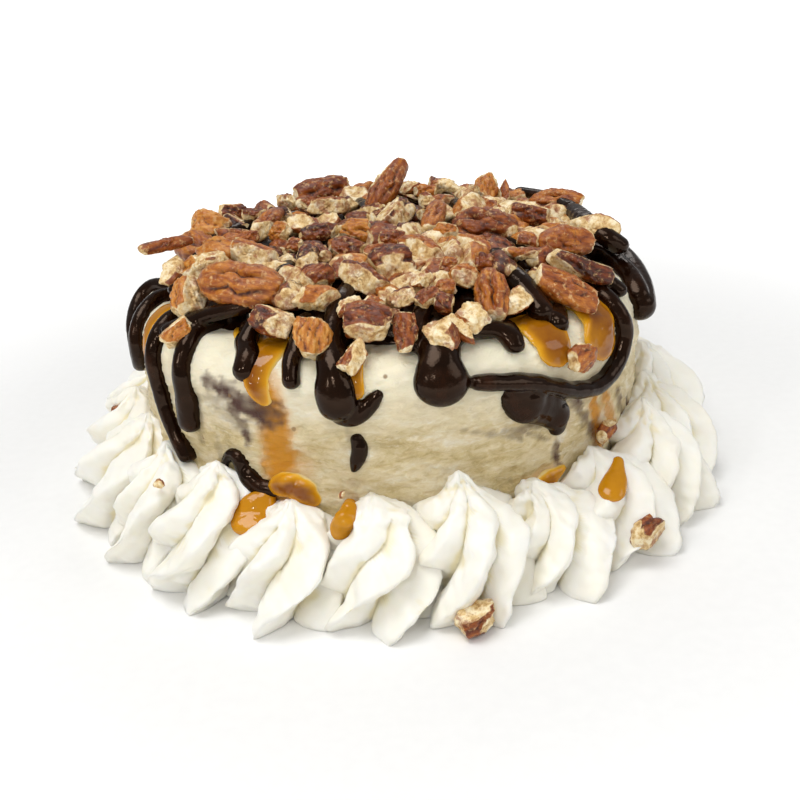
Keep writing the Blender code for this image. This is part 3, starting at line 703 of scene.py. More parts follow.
def makeFudgeBed():
    # what the nuts are stuck in: a ball pressed flat on the cake, with a lumpy roof
    bm = bmesh.new()
    bmesh.ops.create_uvsphere(bm, u_segments=160, v_segments=90, radius=1.0)
    mesh = meshFrom("fudgeBed", bm)
    points = places(mesh)
    radius = np.hypot(points[:, 0], points[:, 1])
    around = points[:, :2] / np.maximum(radius, 1e-6)[:, None]
    edge = heapShape["bedRadius"] * (1 + 0.03 * waves(points * (1, 1, 0), 0.5, 21))
    spread = edge * (1 - (1 - radius) ** 1.4)
    flat = around * spread[:, None]
    level = np.column_stack((flat, np.zeros(len(flat))))
    lumps = sum(waves(level, size, seed) * height for height, size, seed in heapShape["bedLumps"])
    roof = heapHeight(spread) - heapShape["bedDepth"] + lumps
    rounded = np.sqrt(np.clip(1 - (spread / edge) ** 6, 0, 1))
    floor = cakeShape["height"] - 0.6
    height = np.where(points[:, 2] > 0, floor + (roof - floor) * rounded, floor)
    movePoints(mesh, np.column_stack((flat, height)))
    pieceFrom(mesh, fudge, "ice_cream", "pecan_heap")


def makeCaramel():
    blobs = pourAll(caramelRuns, backCaramel, pourShape["caramelRelief"])
    blobs += seenBlobs(sideCaramel, [iceCream])
    mesh = melted(blobMesh("caramelSauce", blobs), *pourShape["caramelSkin"])
    points = places(mesh)
    radius, height = np.hypot(points[:, 0], points[:, 1]), points[:, 2]
    fromRim = np.hypot(np.maximum(0, radius - topFlat), np.maximum(0, height - shoulder)) - cakeShape["rim"]
    proud = np.where(height > shoulder, fromRim, radius - sideRadius(height))
    depth = 0.95 * (1 - np.exp(-np.maximum(proud, 0) / pourShape["caramelGlow"]))
    inward = 1 - nearest(points, blobs)
    store(mesh, "depth", depth * (0.35 + 0.65 * softStep(0.0, 0.40, inward)))
    pieceFrom(mesh, caramel, "ice_cream", "ice_cream")


makeFudge()
makeFudgeBed()
makeCaramel()
print("sauces poured")

# pecans seen in the photograph, by kind: the skin's tone from 0 dark to 1 tan, both ends and width in pixels
seenPecans = {
    "half": (
        (0.64, 205, 278, 281, 292, 42), (0.6, 490, 273, 494, 318, 28), (0.42, 459, 225, 511, 232, 36),
        (0.62, 534, 202, 581, 204, 24),
    ),
    "skin": (
        (0.45, 142, 254, 190, 236, 12), (0.35, 240, 214, 266, 214, 11), (0.5, 238, 243, 258, 233, 12),
        (0.8, 312, 318, 312, 356, 32), (0.35, 308, 243, 328, 260, 14), (0.5, 288, 246, 302, 246, 14),
        (0.25, 301, 234, 338, 230, 16), (0.7, 272, 232, 290, 232, 18), (0.15, 270, 215, 292, 215, 16),
        (0.38, 298, 196, 350, 186, 26), (0.8, 344, 230, 372, 232, 22), (0.3, 372, 268, 412, 262, 36),
        (0.4, 376, 240, 404, 236, 14), (0.35, 345, 318, 390, 325, 34), (0.3, 381, 316, 403, 316, 14),
        (0.4, 404, 312, 408, 352, 20), (0.4, 417, 306, 436, 290, 16), (0.6, 435, 287, 457, 287, 14),
        (0.5, 440, 265, 458, 265, 14), (0.75, 487, 204, 487, 176, 24, "upright"),
        (0.6, 532, 272, 598, 306, 26), (0.5, 400, 160, 373, 212, 26, "finger"),
        (0.65, 440, 198, 428, 236, 18), (0.7, 413, 191, 437, 191, 12),
    ),
    "knob": (
        (0.85, 190, 228, 230, 226, 28), (0.4, 305, 285, 330, 270, 25), (0.35, 328, 248, 364, 250, 18),
        (0.35, 436, 296, 452, 310, 18), (0.45, 475, 263, 495, 263, 16), (0.6, 538, 240, 596, 242, 26),
    ),
    "both": (
        (0.3, 221, 212, 241, 212, 22), (0.6, 228, 246, 275, 262, 22), (0.75, 190, 279, 188, 316, 30),
        (0.75, 188, 320, 165, 343, 24), (0.5, 307, 206, 348, 206, 16), (0.6, 405, 240, 436, 262, 24),
        (0.3, 344, 266, 382, 290, 24), (0.65, 454, 270, 478, 282, 18), (0.75, 436, 228, 459, 232, 20),
        (0.35, 514, 210, 550, 216, 22), (0.2, 552, 256, 614, 276, 24), (0.2, 384, 228, 404, 204, 28),
    ),
    "flesh": (
        (0.5, 275, 210, 255, 240, 18), (0.5, 195, 270, 228, 255, 20), (0.5, 180, 258, 166, 286, 20),
        (0.3, 254, 314, 296, 328, 26), (0.7, 292, 300, 333, 298, 24), (0.2, 307, 244, 307, 274, 20),
        (0.5, 289, 225, 315, 225, 18), (0.4, 275, 198, 297, 204, 12), (0.5, 296, 204, 312, 204, 12),
        (0.5, 364, 260, 386, 246, 16), (0.4, 345, 258, 338, 280, 14), (0.3, 386, 305, 418, 290, 16),
        (0.5, 362, 300, 384, 308, 12), (0.5, 334, 314, 362, 298, 14), (0.5, 345, 372, 361, 342, 20),
        (0.45, 440, 320, 440, 354, 30), (0.5, 414, 282, 434, 276, 14), (0.5, 504, 308, 530, 292, 20),
        (0.5, 460, 305, 486, 330, 24), (0.5, 446, 314, 472, 338, 16), (0.5, 488, 214, 510, 214, 12),
        (0.5, 459, 192, 478, 204, 14, "upright"), (0.5, 504, 180, 508, 206, 9, "upright"),
        (0.6, 576, 222, 612, 230, 22), (0.5, 514, 236, 540, 244, 14), (0.5, 500, 250, 536, 256, 12),
        (0.4, 419, 201, 435, 201, 14), (0.5, 399, 190, 419, 186, 12), (0.5, 427, 184, 456, 188, 14),
    ),
}
pecanShape = {
    "seed": 4,
    "fillCount": 105,
    "fillReach": 55.0,  # how far out the small pieces lie where the photograph shows the rim, and elsewhere
    "fillReachBehind": 64.0,
    "rounding": 4.5,  # higher keeps the broken edges sharper
    "lumps": 0.06,
    "wrinkle": 0.15,  # millimetres
    "crumble": 0.20,
    "groove": 0.40,
    "chips": 3,  # corners knocked off a piece with skin
    "facets": 9,  # broken faces of a piece of flesh
    "fingerDepth": 31.0,  # how far behind the middle the tall finger stands
    "ends": {"half": 1.12, "skin": 1.25, "knob": 1.05, "both": 1.3, "flesh": 1.3},  # how pointed
    "grooves": ((0.0, 0.20, 1.0), (1.05, 0.16, 0.45), (-1.05, 0.16, 0.45)),  # of a half
    "thickest": 9.5,
    "fillLength": (8, 14),
    "fillDepth": (2.0, 4.2),
    "fillTries": 30,  # places tried for each small piece, of which the one with the most room is taken
    "fillKinds": ("skin", "both", "flesh", "both", "knob"),
}
pecanLook = {
    "streaks": {"Scale": 0.75, "Detail": 5.0, "Roughness": 0.65},
    "dust": {"Scale": 620.0, "Detail": 5.0, "Roughness": 0.7},
    "flecks": {"Scale": 420.0, "Detail": 5.0, "Roughness": 0.68},
    "rust": {"Scale": 190.0, "Detail": 5.0, "Roughness": 0.7},
    "skin": ((0.0, "#3A170A"), (0.22, "#6B2D0E"), (0.48, "#994F17"), (0.74, "#C27826"), (1.0, "#DAA152")),
    "flesh": ((0.28, "#8F6231"), (0.38, "#C49B60"), (0.48, "#E5C68C"), (0.61, "#FBECC8")),
}


def template(subdivisions):
    bm = bmesh.new()
    bmesh.ops.create_icosphere(bm, subdivisions=subdivisions, radius=1.0)
    return meshFrom(f"pecanTemplate{subdivisions}", bm)


templates = {level: template(level) for level in (4, 5)}
templatePoints = {level: places(mesh) for level, mesh in templates.items()}


def pecan(points, length, width, thick, kind, seed):
    # pushes a unit ball's points out to a broken pecan's skin and to the planes where it has snapped
    chance = np.random.default_rng(seed)
    half = np.array((length, width, thick)) / 2
    ways = points / np.linalg.norm(points, axis=1)[:, None]
    skinReach = 1 / np.linalg.norm(ways / (half * (pecanShape["ends"][kind], 1.08, 1.12)), axis=1)
    turnRound = np.arctan2(ways[:, 1], ways[:, 2])
    fade = 1 - softStep(0.80, 0.99, np.abs(ways[:, 0]))
    if kind == "half":
        for middle, spread, depth in pecanShape["grooves"]:
            wander = middle + 0.12 * np.sin(ways[:, 0] * 5 + seed)
            groove = pecanShape["groove"] * depth * fade
            skinReach *= 1 - groove * np.exp(-((turnRound - wander) / spread) ** 2)
    elif kind in ("skin", "both"):
        for middle in (chance.uniform(-0.9, -0.3), chance.uniform(0.3, 0.9)):
            wander = middle + 0.2 * np.sin(ways[:, 0] * 4 + seed)
            skinReach *= 1 - 0.17 * fade * np.exp(-((turnRound - wander) / 0.22) ** 2)
    elif kind == "knob":
        skinReach *= 1 + 0.13 * waves(ways, 1.5, seed + 5)
    planes = []
    if kind != "flesh":
        planes.append(((chance.uniform(-0.2, 0.2), chance.uniform(-0.3, 0.3), -1.0), 0.75))
        facing = (1.0, chance.uniform(-0.5, 0.5), chance.uniform(-0.3, 0.6))
        planes.append((facing, chance.uniform(0.82, 1.0)))
    if kind in ("skin", "knob", "both"):
        facing = (-1.0, chance.uniform(-0.5, 0.5), chance.uniform(-0.3, 0.6))
        planes.append((facing, chance.uniform(0.78, 1.0)))
        for _ in range(pecanShape["chips"]):
            facing = chance.normal(size=3) * (1.0, 0.8, 0.35)
            planes.append((facing, chance.uniform(0.80, 0.95)))
    if kind == "both":
        planes.append(((chance.uniform(-0.2, 0.2), chance.choice((-1, 1)) * 0.8, 0.75), 0.60))
    if kind == "flesh":
        for _ in range(pecanShape["facets"]):
            planes.append((chance.normal(size=3), chance.uniform(0.68, 0.90)))
    reaches = [skinReach]
    for facing, share in planes:  # each plane lies at a share of the way out to the ellipsoid's own skin
        facing = np.array(facing) / np.linalg.norm(facing)
        away = share * np.linalg.norm(facing * half)
        reaches.append(away / np.maximum(ways @ facing, 1e-3))
    near = np.array(reaches)
    weights = np.exp(-pecanShape["rounding"] * (near - near.min(0)))
    total = weights.sum(0)
    reach = near.min(0) - np.log(total) / pecanShape["rounding"] * 0.6
    flesh = 1 - weights[0] / total
    place = ways * reach[:, None]
    lumps = pecanShape["lumps"] * waves(place, max(5.0, length * 0.45), seed + 1) * min(half)
    folds = waves(place * (0.8, 1.4, 1.4), 2.6, seed + 2) + 0.7 * waves(place, 1.2, seed + 3)
    cracks = np.exp(-(waves(place * (0.7, 1.5, 1.5), 3.6, seed + 8) / 0.22) ** 2)
    wrinkles = pecanShape["wrinkle"] * folds - pecanShape["wrinkle"] * 1.3 * cracks
    crumbs = waves(place, 3.0, seed + 4) - 0.8 * np.abs(waves(place, 1.7, seed + 6))
    crumbles = pecanShape["crumble"] * (crumbs + 0.5 * waves(place, 1.0, seed + 7))
    share = softStep(0.35, 0.65, flesh)
    return ways * (reach + lumps + wrinkles * (1 - share) + crumbles * share)[:, None], flesh


def pecanMaterial():
    # toasted pecan, chopped: papery skin from red brown to amber with streaks along it, painted shade in its
    # creases, a pale rim where it has snapped, and oily, cream-coloured flesh with rusty flecks and painted
    # shade in its hollows
    look = pecanLook
    material, add, shader, place = newMaterial("choppedToastedPecan")
    tone = add("Attribute", attribute_name="tone").outputs["Fac"]
    flesh = add("Attribute", attribute_name="flesh").outputs["Fac"]
    crease = add("Attribute", attribute_name="crease").outputs["Fac"]
    grain = add("Attribute", attribute_name="grain").outputs["Vector"]  # millimetres along the nut
    streak = add("TexNoise", {"Vector": grain, **look["streaks"]})
    toned = add("Math", {0: streak, 1: 1.5, 2: tone}, operation="MULTIPLY_ADD")
    lowered = add("Math", {0: toned, 1: 0.84}, operation="SUBTRACT")
    brown = add("ValToRGB", {0: lowered}, stops=look["skin"])
    dusted = add("TexNoise", {"Vector": place, **look["dust"]})
    dust = add("MapRange", {"Value": dusted, "From Min": 0.55, "From Max": 0.66, "To Max": 0.75})
    powdered = add("Mix", {0: dust, 6: brown, 7: "#DCB176"}, data_type="RGBA")
    shadeMultiply = {"data_type": "RGBA", "blend_type": "MULTIPLY"}
    # painted shade: the skin is darkened where the surface lies in a hollow
    creaseShadedSkin = add("Mix", {0: crease, 6: powdered, 7: "#5E3420"}, **shadeMultiply)
    fleck = add("TexNoise", {"Vector": place, **look["flecks"]})
    pale = add("ValToRGB", {0: fleck}, stops=look["flesh"])
    rust = add("TexNoise", {"Vector": place, **look["rust"]})
    rusting = {"From Min": 0.53, "From Max": 0.62, "To Max": 0.80}
    rustShare = add("MapRange", {"Value": rust, **rusting})
    rusty = add("Mix", {0: rustShare, 6: pale, 7: "#A2603A"}, data_type="RGBA")
    # painted shade: the flesh is darkened where the surface lies in a hollow
    creaseShadedFlesh = add("Mix", {0: crease, 6: rusty, 7: "#B58A5C"}, **shadeMultiply)
    ragged = add("Math", {0: rust, 1: 0.9, 2: flesh}, operation="MULTIPLY_ADD")
    edge = add("MapRange", {"Value": ragged, "From Min": 0.86, "From Max": 0.94})
    rim = add("MapRange", {"Value": ragged, "From Min": 0.70, "From Max": 0.86, "To Max": 0.55})
    rimmed = add("Mix", {0: rim, 6: creaseShadedSkin, 7: "#D9B27A"}, data_type="RGBA")
    finish = {
        "Base Color": add("Mix", {0: edge, 6: rimmed, 7: creaseShadedFlesh}, data_type="RGBA"),
        "Roughness": add("MapRange", {"Value": edge, "To Min": 0.30, "To Max": 0.55}),
        "Normal": add("Bump", {"Strength": 0.6, "Distance": 0.0006, "Height": dusted}),
        "Specular IOR Level": 0.45,
    }
    setInputs(shader, finish)
    return material


pecanSkin = pecanMaterial()


def seenPlace(x0, y0, x1, y1, widthPixels, stance="lying"):
    # a nut's middle, axes and size from its place in the photograph
    middle = onHeap((x0 + x1) / 2, (y0 + y1) / 2)
    if stance == "finger":  # the tall one at the back
        ray = pixelRay((x0 + x1) / 2, (y0 + y1) / 2)
        middle = cameraPlace + ray * (pecanShape["fingerDepth"] - cameraPlace[1]) / ray[1]
    scale = cameraView["focalPixels"] / ((middle - cameraPlace) @ aheadAxis)
    across = (rightAxis * (x1 - x0) - upAxis * (y1 - y0)) / scale
    lying = onHeap(x1, y1) - onHeap(x0, y0)
    deep = (lying - across) @ aheadAxis * (0.45 if stance == "lying" else 0.1)
    along = across + aheadAxis * deep
    length = np.linalg.norm(along) + widthPixels / scale * 0.22
    width = widthPixels / scale * (1.18 if stance == "lying" else 1.0)
    facing = np.array((0.0, 0.0, 1.0)) * 0.75 - aheadAxis * 0.65
    return middle, turnTo(along, facing), (length, width, min(width * 0.85, pecanShape["thickest"]))


def gather(name, entries, level, *nodes):
    # one mesh of every nut of a kind
    bm = bmesh.new()
    allPoints, allFlesh, allTone, allLocal = [], [], [], []
    for number, (middle, axes, size, kind, tone) in enumerate(entries):
        bm.from_mesh(templates[level])
        seed = pecanShape["seed"] * 1000 + number * 11 + len(name)
        local, flesh = pecan(templatePoints[level], *size, kind, seed)
        allPoints.append(local @ axes + middle)
        allFlesh.append(flesh)
        allLocal.append(local * (0.3, 1, 1) + seed % 97)
        allTone.append(np.full(len(local), tone))
    mesh = meshFrom(name, bm)
    movePoints(mesh, np.concatenate(allPoints))
    layer = mesh.attributes.new("grain", "FLOAT_VECTOR", "POINT")
    layer.data.foreach_set("vector", np.concatenate(allLocal).astype(np.float32).ravel())
    store(mesh, "flesh", np.concatenate(allFlesh))
    store(mesh, "tone", np.concatenate(allTone))
    # painted shade: how deep each point lies in a hollow, for the darkening painted into it
    store(mesh, "crease", softStep(0.02, 0.30, hollows(mesh, 5)))
    return pieceFrom(mesh, pecanSkin, "pecan", *nodes)


def makePecans():
    kinds = {kind: [] for kind in seenPecans}
    taken = []
    for kind, rows in seenPecans.items():
        for tone, *place in rows:
            middle, axes, size = seenPlace(*place)
            kinds[kind].append((middle, axes, size, kind, tone))
            taken.append((middle, size[0]))
    fineLevel, coarseLevel = 5, 4
    gather("groovedPecanHalves", kinds["half"], fineLevel, "pecan_heap")
    gather("skinnedPecanPieces", kinds["skin"] + kinds["knob"], fineLevel, "pecan_heap")
    gather("snappedPecanPieces", kinds["both"], fineLevel, "pecan_heap")
    gather("palePecanPieces", kinds["flesh"], fineLevel, "pecan_heap")
    chance = random.Random(pecanShape["seed"])
    fill = []
    for _ in range(pecanShape["fillCount"]):
        length = chance.uniform(*pecanShape["fillLength"])
        best, mostRoom = None, -99.0
        for _ in range(pecanShape["fillTries"]):
            turn = chance.uniform(0, math.tau)
            limit = pecanShape["fillReachBehind" if math.sin(turn) > 0.35 else "fillReach"]
            radius = limit * math.sqrt(chance.random())
            height = heapHeight(radius) - chance.uniform(*pecanShape["fillDepth"])
            spot = np.array((radius * math.cos(turn), radius * math.sin(turn), height))
            rooms = (
                np.linalg.norm((spot - other) * (1, 1, 0.5)) - (length + size) * 0.4 for other, size in taken
            )
            room = min(rooms)
            if room > mostRoom:
                best, mostRoom = spot, room
        taken.append((best, length))
        heading = chance.uniform(0, math.tau)
        ahead = np.array((math.cos(heading), math.sin(heading), chance.uniform(-0.3, 0.3)))
        facing = np.array((chance.uniform(-0.5, 0.5), chance.uniform(-0.5, 0.5), 1.0))
        size = (length, length * chance.uniform(0.6, 0.85), length * chance.uniform(0.5, 0.65))
        kind = chance.choice(pecanShape["fillKinds"])
        fill.append((best, turnTo(ahead, facing), size, kind, chance.uniform(0.15, 0.8)))
    gather("smallPecanPieces", fill, coarseLevel, "pecan_heap")


makePecans()
print("pecans heaped")

# the ring of piped stars: the same forms as the solids they stand for
starShape = {
    "count": 22,
    "first": -77.5,
    "ring": 79.5,
    "radius": 16.6,
    "height": 29.0,
    "lean": 6.0,
    "twist": 105.0,
    "lobes": 6,
    "seed": 5,
    "overlap": 3.8,  # how far a star presses into its neighbours
    "cakeOverlap": 0.9,  # and into the cake
    "segments": 168,
    "rings": 84,
    "foot": 0.09,  # share of the ball, from its lower pole, that is flattened to the foot
    "lines": 0.16,  # fine lines that the nozzle leaves
    "crest": 0.55,  # how far the crests of the ridges stand up
    "sag": 2.2,  # the ridges hang a little
    # from foot to tip: height and width as shares of the whole
    "profile": (
        (0.00, 0.94), (0.08, 1.02), (0.22, 1.00), (0.40, 0.98), (0.56, 0.97),
        (0.67, 0.90), (0.76, 0.74), (0.84, 0.48), (0.91, 0.23), (1.00, 0.07),
    ),
    # from foot to tip: how deep the valleys go, and how sharp the ridges' crests are
    "creases": (
        (0.0, 0.60, 1.05), (0.15, 0.56, 1.1), (0.40, 0.50, 1.25),
        (0.70, 0.50, 1.4), (0.9, 0.42, 1.8), (1.0, 0.25, 2.0),
    ),
}
# how the stars differ: least and most, as shares or in millimetres, the toe in degrees
starRanges = {
    "height": (0.92, 1.08),
    "size": (0.96, 1.06),
    "twist": (0.8, 1.25),
    "toe": (-14, 26),
    "lean": (0.62, 0.80),  # how steeply the ridges rise
    "length": (0.86, 1.07),
    "valley": (0.75, 1.15),
    "crown": (0.0, 1.3),
    "curl": (0.5, 3.4),
    "peak": (0.0, 1.6),
    "sag": (0.5, 1.2),
}
# the first toe's turn from straight out, in degrees, for the stars whose toes the photograph shows
seenToes = {1: 14, 22: 18, 21: 2, 2: 4, 20: 24, 3: 10}
crownSizes = {1: 0.2, 22: 3.0, 21: 1.8, 2: 1.2, 3: 2.0}  # millimetres that the curled top adds at the tip
seenDrops = {21: 2.4, 2: 4.8, 3: 2.0}  # millimetres that a star stands lower than the others
peakHeights = {1: 1.6, 22: 0.3, 21: 0.2, 2: 0.2, 3: 0.6}  # millimetres that the tip is drawn up


def creamMaterial():
    # whipped cream, piped cold: soft white, satin rather than glossy, light spreading inside it, and the
    # creases between the ridges painted a faint yellow shade instead of grey
    material, add, shader, place = newMaterial("pipedWhippedCream")
    crease = add("Attribute", attribute_name="crease").outputs["Fac"]
    cloud = add("TexNoise", {"Vector": place, "Scale": 90.0, "Detail": 3.0})
    white = add("ValToRGB", {0: cloud}, stops=((0.3, "#F7F2E4"), (0.7, "#FCFAF2")))
    foam = add("TexNoise", {"Vector": place, "Scale": 600.0, "Detail": 3.0})
    finish = {
        # painted shade: the creases are painted a faint yellow
        "Base Color": add("Mix", {0: crease, 6: white, 7: "#F3EACA"}, data_type="RGBA"),
        "Normal": add("Bump", {"Strength": 0.10, "Distance": 0.0004, "Height": foam}),
        "Roughness": 0.40, "Specular IOR Level": 0.4,
        "Subsurface Weight": 0.25, "Subsurface Radius": (1.0, 0.85, 0.6), "Subsurface Scale": 0.0025,
    }
    setInputs(shader, finish)
    return material


whippedCream = creamMaterial()


def starTemplate():
    bm = bmesh.new()
    segments, rings = starShape["segments"], starShape["rings"]
    bmesh.ops.create_uvsphere(bm, u_segments=segments, v_segments=rings, radius=1.0)
    return meshFrom("starTemplate", bm)


def neighbourRoom(centres, ways, azimuth, heights):
    # how far a star's skin goes before it is well into its neighbours or the cake
    room = np.full(len(ways), 99.0)
    for side in (1, -1):
        plane = azimuth + side * math.pi / starShape["count"]
        inward = np.array((side * math.sin(plane), -side * math.cos(plane)))
        towards = -(ways @ inward)
        reach = (centres @ inward + starShape["overlap"]) / np.maximum(towards, 1e-6)
        room = np.where(towards > 1e-6, np.minimum(room, reach), room)
    along = (centres * ways).sum(1)
    inside = along ** 2 - (centres ** 2).sum(1) + (sideRadius(heights) - starShape["cakeOverlap"]) ** 2
    reach = -along - np.sqrt(np.maximum(inside, 0))
    return np.where((inside > 0) & (along < 0), np.minimum(room, reach), room)


def makeStar(number, base, unit):
    shape, ranges = starShape, starRanges
    azimuth = math.radians(shape["first"] + (number - 1) * 360.0 / shape["count"])
    chance = random.Random(shape["seed"] * 100 + number)
    height = shape["height"] * chance.uniform(*ranges["height"]) - seenDrops.get(number, 0)
    size = shape["radius"] * chance.uniform(*ranges["size"])
    twist = math.radians(shape["twist"]) * chance.uniform(*ranges["twist"])
    toe = math.radians(seenToes.get(number, chance.uniform(*ranges["toe"])))
    lobes = shape["lobes"]
    around = np.arctan2(unit[:, 1], unit[:, 0])
    fall = np.arccos(np.clip(-unit[:, 2], -1, 1)) / math.pi  # 0 in the middle of the foot, 1 at the tip
    share = np.clip((fall - shape["foot"]) / (1 - shape["foot"]), 0, 1)
    knots, folds = np.array(shape["profile"]).T, np.array(shape["creases"]).T
    width = sum(np.interp(np.clip(share + shift, 0, 1), *knots) for shift in (-0.03, 0, 0.03)) / 3
    width = width * np.clip(fall / shape["foot"], 0, 1) * np.sqrt(np.clip((1 - share) / 0.04, 0, 1))
    deep, narrow = np.interp(share, folds[0], folds[1]), np.interp(share, folds[0], folds[2])
    wobble = 0.12 * np.sin(around * 2 + chance.uniform(0, math.tau))
    wobble += 0.10 * np.sin(around * 3 + share * 5 + chance.uniform(0, math.tau))
    turned = around - azimuth - toe - twist * share ** 1.25 + wobble * (0.3 + share)
    phase = turned * lobes / math.tau + 0.5
    lobe = np.floor(phase).astype(int) % lobes
    within = (phase - np.floor(phase)) ** chance.uniform(*ranges["lean"])
    longer = np.array([chance.uniform(*ranges["length"]) for _ in range(lobes)])
    deeper = np.array([chance.uniform(*ranges["valley"]) for _ in range(lobes)])
    hump = 1 - np.abs(2 * within - 1) ** narrow
    reach = size * width * (longer[lobe] * hump + (1 - deep * deeper[lobe]) * (1 - hump))
    reach += shape["lines"] * np.sin(within * 21 + number) * hump * (1 - share)
    reach += shape["crest"] * hump ** 7 * (1 - softStep(0.8, 0.95, share))
    crown = crownSizes[number] if number in crownSizes else chance.uniform(*ranges["crown"])
    reach += crown * np.exp(-((share - 0.90) / 0.06) ** 2) * (1 + 0.5 * np.sin(around * 3 + number))
    ways = np.column_stack((np.cos(around), np.sin(around)))
    outward = np.array((math.cos(azimuth), math.sin(azimuth)))
    centres = outward * (shape["ring"] - shape["lean"] * share ** 1.5)[:, None]
    tipWay, tipCurl = chance.uniform(0, math.tau), chance.uniform(*ranges["curl"])
    curl = np.array((math.cos(tipWay), math.sin(tipWay))) * tipCurl
    centres = centres + curl * (softStep(0.70, 1.0, share) ** 1.5)[:, None]
    reach = np.minimum(reach, neighbourRoom(centres, ways, azimuth, height * share))
    points = np.column_stack((centres + ways * np.maximum(reach, 0)[:, None], height * share))
    peak = peakHeights[number] if number in peakHeights else chance.uniform(*ranges["peak"])
    points[:, 2] += peak * softStep(0.90, 1.0, share) ** 1.5
    hanging = hump * np.exp(-((share - 0.48) / 0.24) ** 2)
    points[:, 2] -= shape["sag"] * hanging * chance.uniform(*ranges["sag"])
    mesh = base.copy()
    mesh.name = f"pipedStar{number:02d}"
    movePoints(mesh, points)
    rough = 0.34 * waves(points, 9.0, 30 + number) + 0.16 * waves(points, 4.0, 60 + number)
    rough += 0.30 * softStep(0.78, 0.95, share) * waves(points, 2.6, 90 + number)
    points = points + normals(mesh) * (rough * (points[:, 2] > 0.3))[:, None]
    points[:, 2] = np.maximum(points[:, 2], 0.0)
    movePoints(mesh, points)
    # painted shade: how deep each point lies in a crease, for the yellow painted into it
    store(mesh, "crease", softStep(0.10, 0.6, hollows(mesh, 16)))
    return pieceFrom(mesh, whippedCream, "whipped_cream", f"cream_star_{number:02d}")


base = starTemplate()
unit = places(base)
stars = {number: makeStar(number, base, unit) for number in range(1, starShape["count"] + 1)}
print("stars piped")

# chips that have fallen: azimuth, reach and how far out of the cake's skin, length, kind and tone
skinChips = ((-51, 75.0, 3.4, 8.0, "skin", 0.6), (-41, 100.0, 2.6, 6.5, "both", 0.4))
# and on the stars: azimuth, radius and height, length, kind and tone
starChips = (
    (-80, 94.5, 4.6, 10.0, "both", 0.45), (-47.5, 92.0, 9.0, 9.5, "both", 0.4),
    (-176, 82.0, 23.0, 5.5, "skin", 0.6), (-136, 83.0, 25.5, 3.2, "flesh", 0.5),
    (-100, 74.0, 27.5, 2.6, "flesh", 0.5), (-91, 74.0, 24.0, 3.2, "flesh", 0.4),
)
# caramel on the cream and by the cake's foot: pixels of the photograph, half width and thickness
creamDrops = (
    (
        (268, 497, 2.4, 2.0), (262, 503, 3.4, 1.8), (256, 510, 4.6, 1.6), (250, 517, 4.6, 1.3),
        (244, 523, 3.4, 0.9),
    ),
    (
        (350, 504, 1.8, 1.2), (348, 512, 2.2, 1.2), (345, 520, 2.8, 1.3), (341, 528, 2.8, 1.2),
        (338, 534, 1.6, 0.8),
    ),
    ((618, 462, 1.6, 1.4), (617, 472, 2.2, 1.6), (615, 482, 3.2, 1.8), (612, 490, 3.6, 1.5)),
)


def makeDrops(carriers):
    blobs = seenBlobs(creamDrops, carriers)
    mesh = melted(blobMesh("caramelDrops", blobs), *pourShape["dropSkin"])
    store(mesh, "depth", np.full(len(mesh.vertices), 0.40))
    pieceFrom(mesh, caramel, "")


def makeChips():
    entries = []
    for azimuth, reach, away, length, kind, tone in skinChips:
        point, outward = skin(azimuth, reach)
        axes = turnTo(outFrom(azimuth + 90, 0.4), outward)
        size = (length, length * 0.9, length * 0.6)
        entries.append((point + outward * away, axes, size, kind, tone))
    for azimuth, radius, height, length, kind, tone in starChips:
        point = outFrom(azimuth) * radius + (0, 0, height)
        axes = turnTo(outFrom(azimuth + 90, 0.2), outFrom(azimuth, 0.7))
        size = (length, length * 0.8, length * 0.7)
        entries.append((point, axes, size, kind, tone))
    gather("fallenChips", entries, 4)


makeDrops([iceCream] + [stars[number] for number in (20, 21, 22, 1, 2, 3)])
makeChips()
for mesh in list(templates.values()) + [base]:
    bpy.data.meshes.remove(mesh)
print("chips dropped")

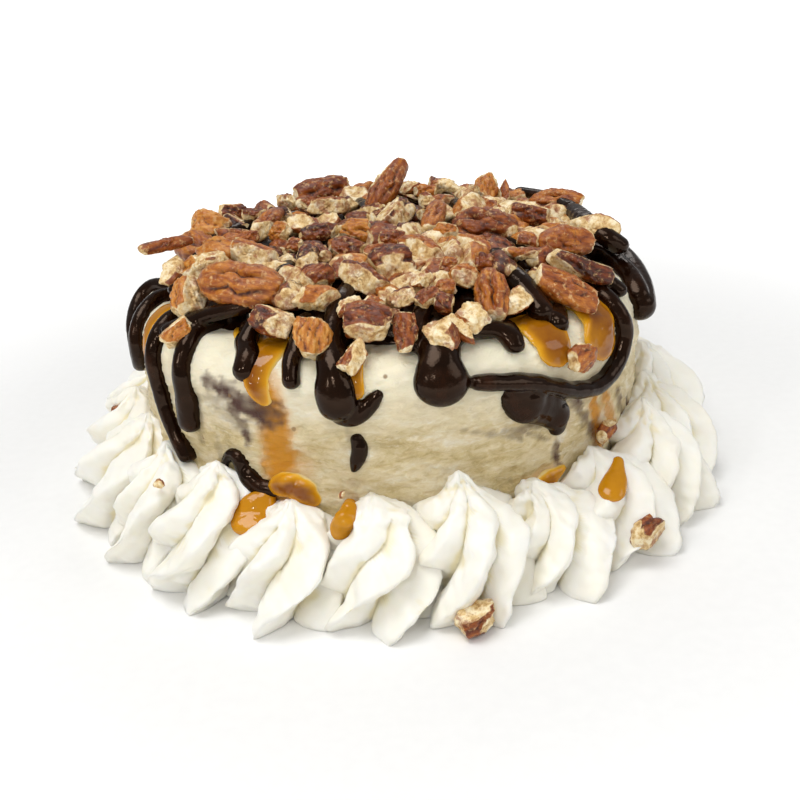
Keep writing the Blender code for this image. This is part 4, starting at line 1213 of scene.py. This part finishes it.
# floor and light
studio = {
    "floorColour": "#F7F7F6",
    "skyStrength": 0.34,
    "keyPower": 3.7,
    "fillPower": 0.8,
    "glintPower": 0.45,
}
bm = bmesh.new()
bmesh.ops.create_grid(bm, x_segments=4, y_segments=4, size=30.0)
floorMesh = meshFrom("studioFloor", bm)
floorMaterial, addToFloor, floorShader, floorPlace = newMaterial("paleMattePaper")
fibre = addToFloor("TexNoise", {"Vector": floorPlace, "Scale": 300.0})
paper = addToFloor("ValToRGB", {0: fibre}, stops=((0.3, "#F5F5F4"), (0.7, studio["floorColour"])))
apart = addToFloor("VectorMath", {0: floorPlace}, operation="LENGTH").outputs["Value"]
farPaper = {"Value": apart, "From Min": 0.10, "From Max": 0.5, "To Max": 0.85}  # it has its own lamps
lit = addToFloor("MapRange", farPaper, interpolation_type="SMOOTHSTEP")
floorFinish = {"Base Color": paper, "Roughness": 0.7, "Emission Strength": lit, "Emission Color": "#FFFFFF"}
setInputs(floorShader, floorFinish)
floorMesh.materials.append(floorMaterial)
floor = bpy.data.objects.new("studioFloor", floorMesh)
bpy.context.scene.collection.objects.link(floor)


def softbox(name, place, size, power):
    data = bpy.data.lights.new(name, "AREA")
    data.shape = "RECTANGLE"
    data.size, data.size_y = size
    data.energy = power
    light = bpy.data.objects.new(name, data)
    light.location = place
    light.rotation_euler = (Vector((0, 0, 0.04)) - Vector(place)).to_track_quat("-Z", "Y").to_euler()
    bpy.context.scene.collection.objects.link(light)


softbox("keySoftbox", (-0.20, -0.15, 0.80), (0.50, 0.40), studio["keyPower"])
softbox("fillSoftbox", (0.55, -0.25, 0.40), (0.35, 0.35), studio["fillPower"])
softbox("backSoftbox", (0.10, 0.60, 0.55), (0.50, 0.20), studio["fillPower"])
softbox("glintWindow", (-0.10, -0.55, 0.42), (0.05, 0.04), studio["glintPower"])
softbox("sideGlint", (-0.30, -0.42, 0.30), (0.04, 0.06), studio["glintPower"] * 0.6)
world = bpy.data.worlds.new("paleStudio")
world.use_nodes = True
world.node_tree.nodes["Background"].inputs[0].default_value = toLinear("#FFFFFF")
world.node_tree.nodes["Background"].inputs[1].default_value = studio["skyStrength"]
bpy.context.scene.world = world
bpy.context.scene.view_settings.view_transform = "Standard"
print("lights set")
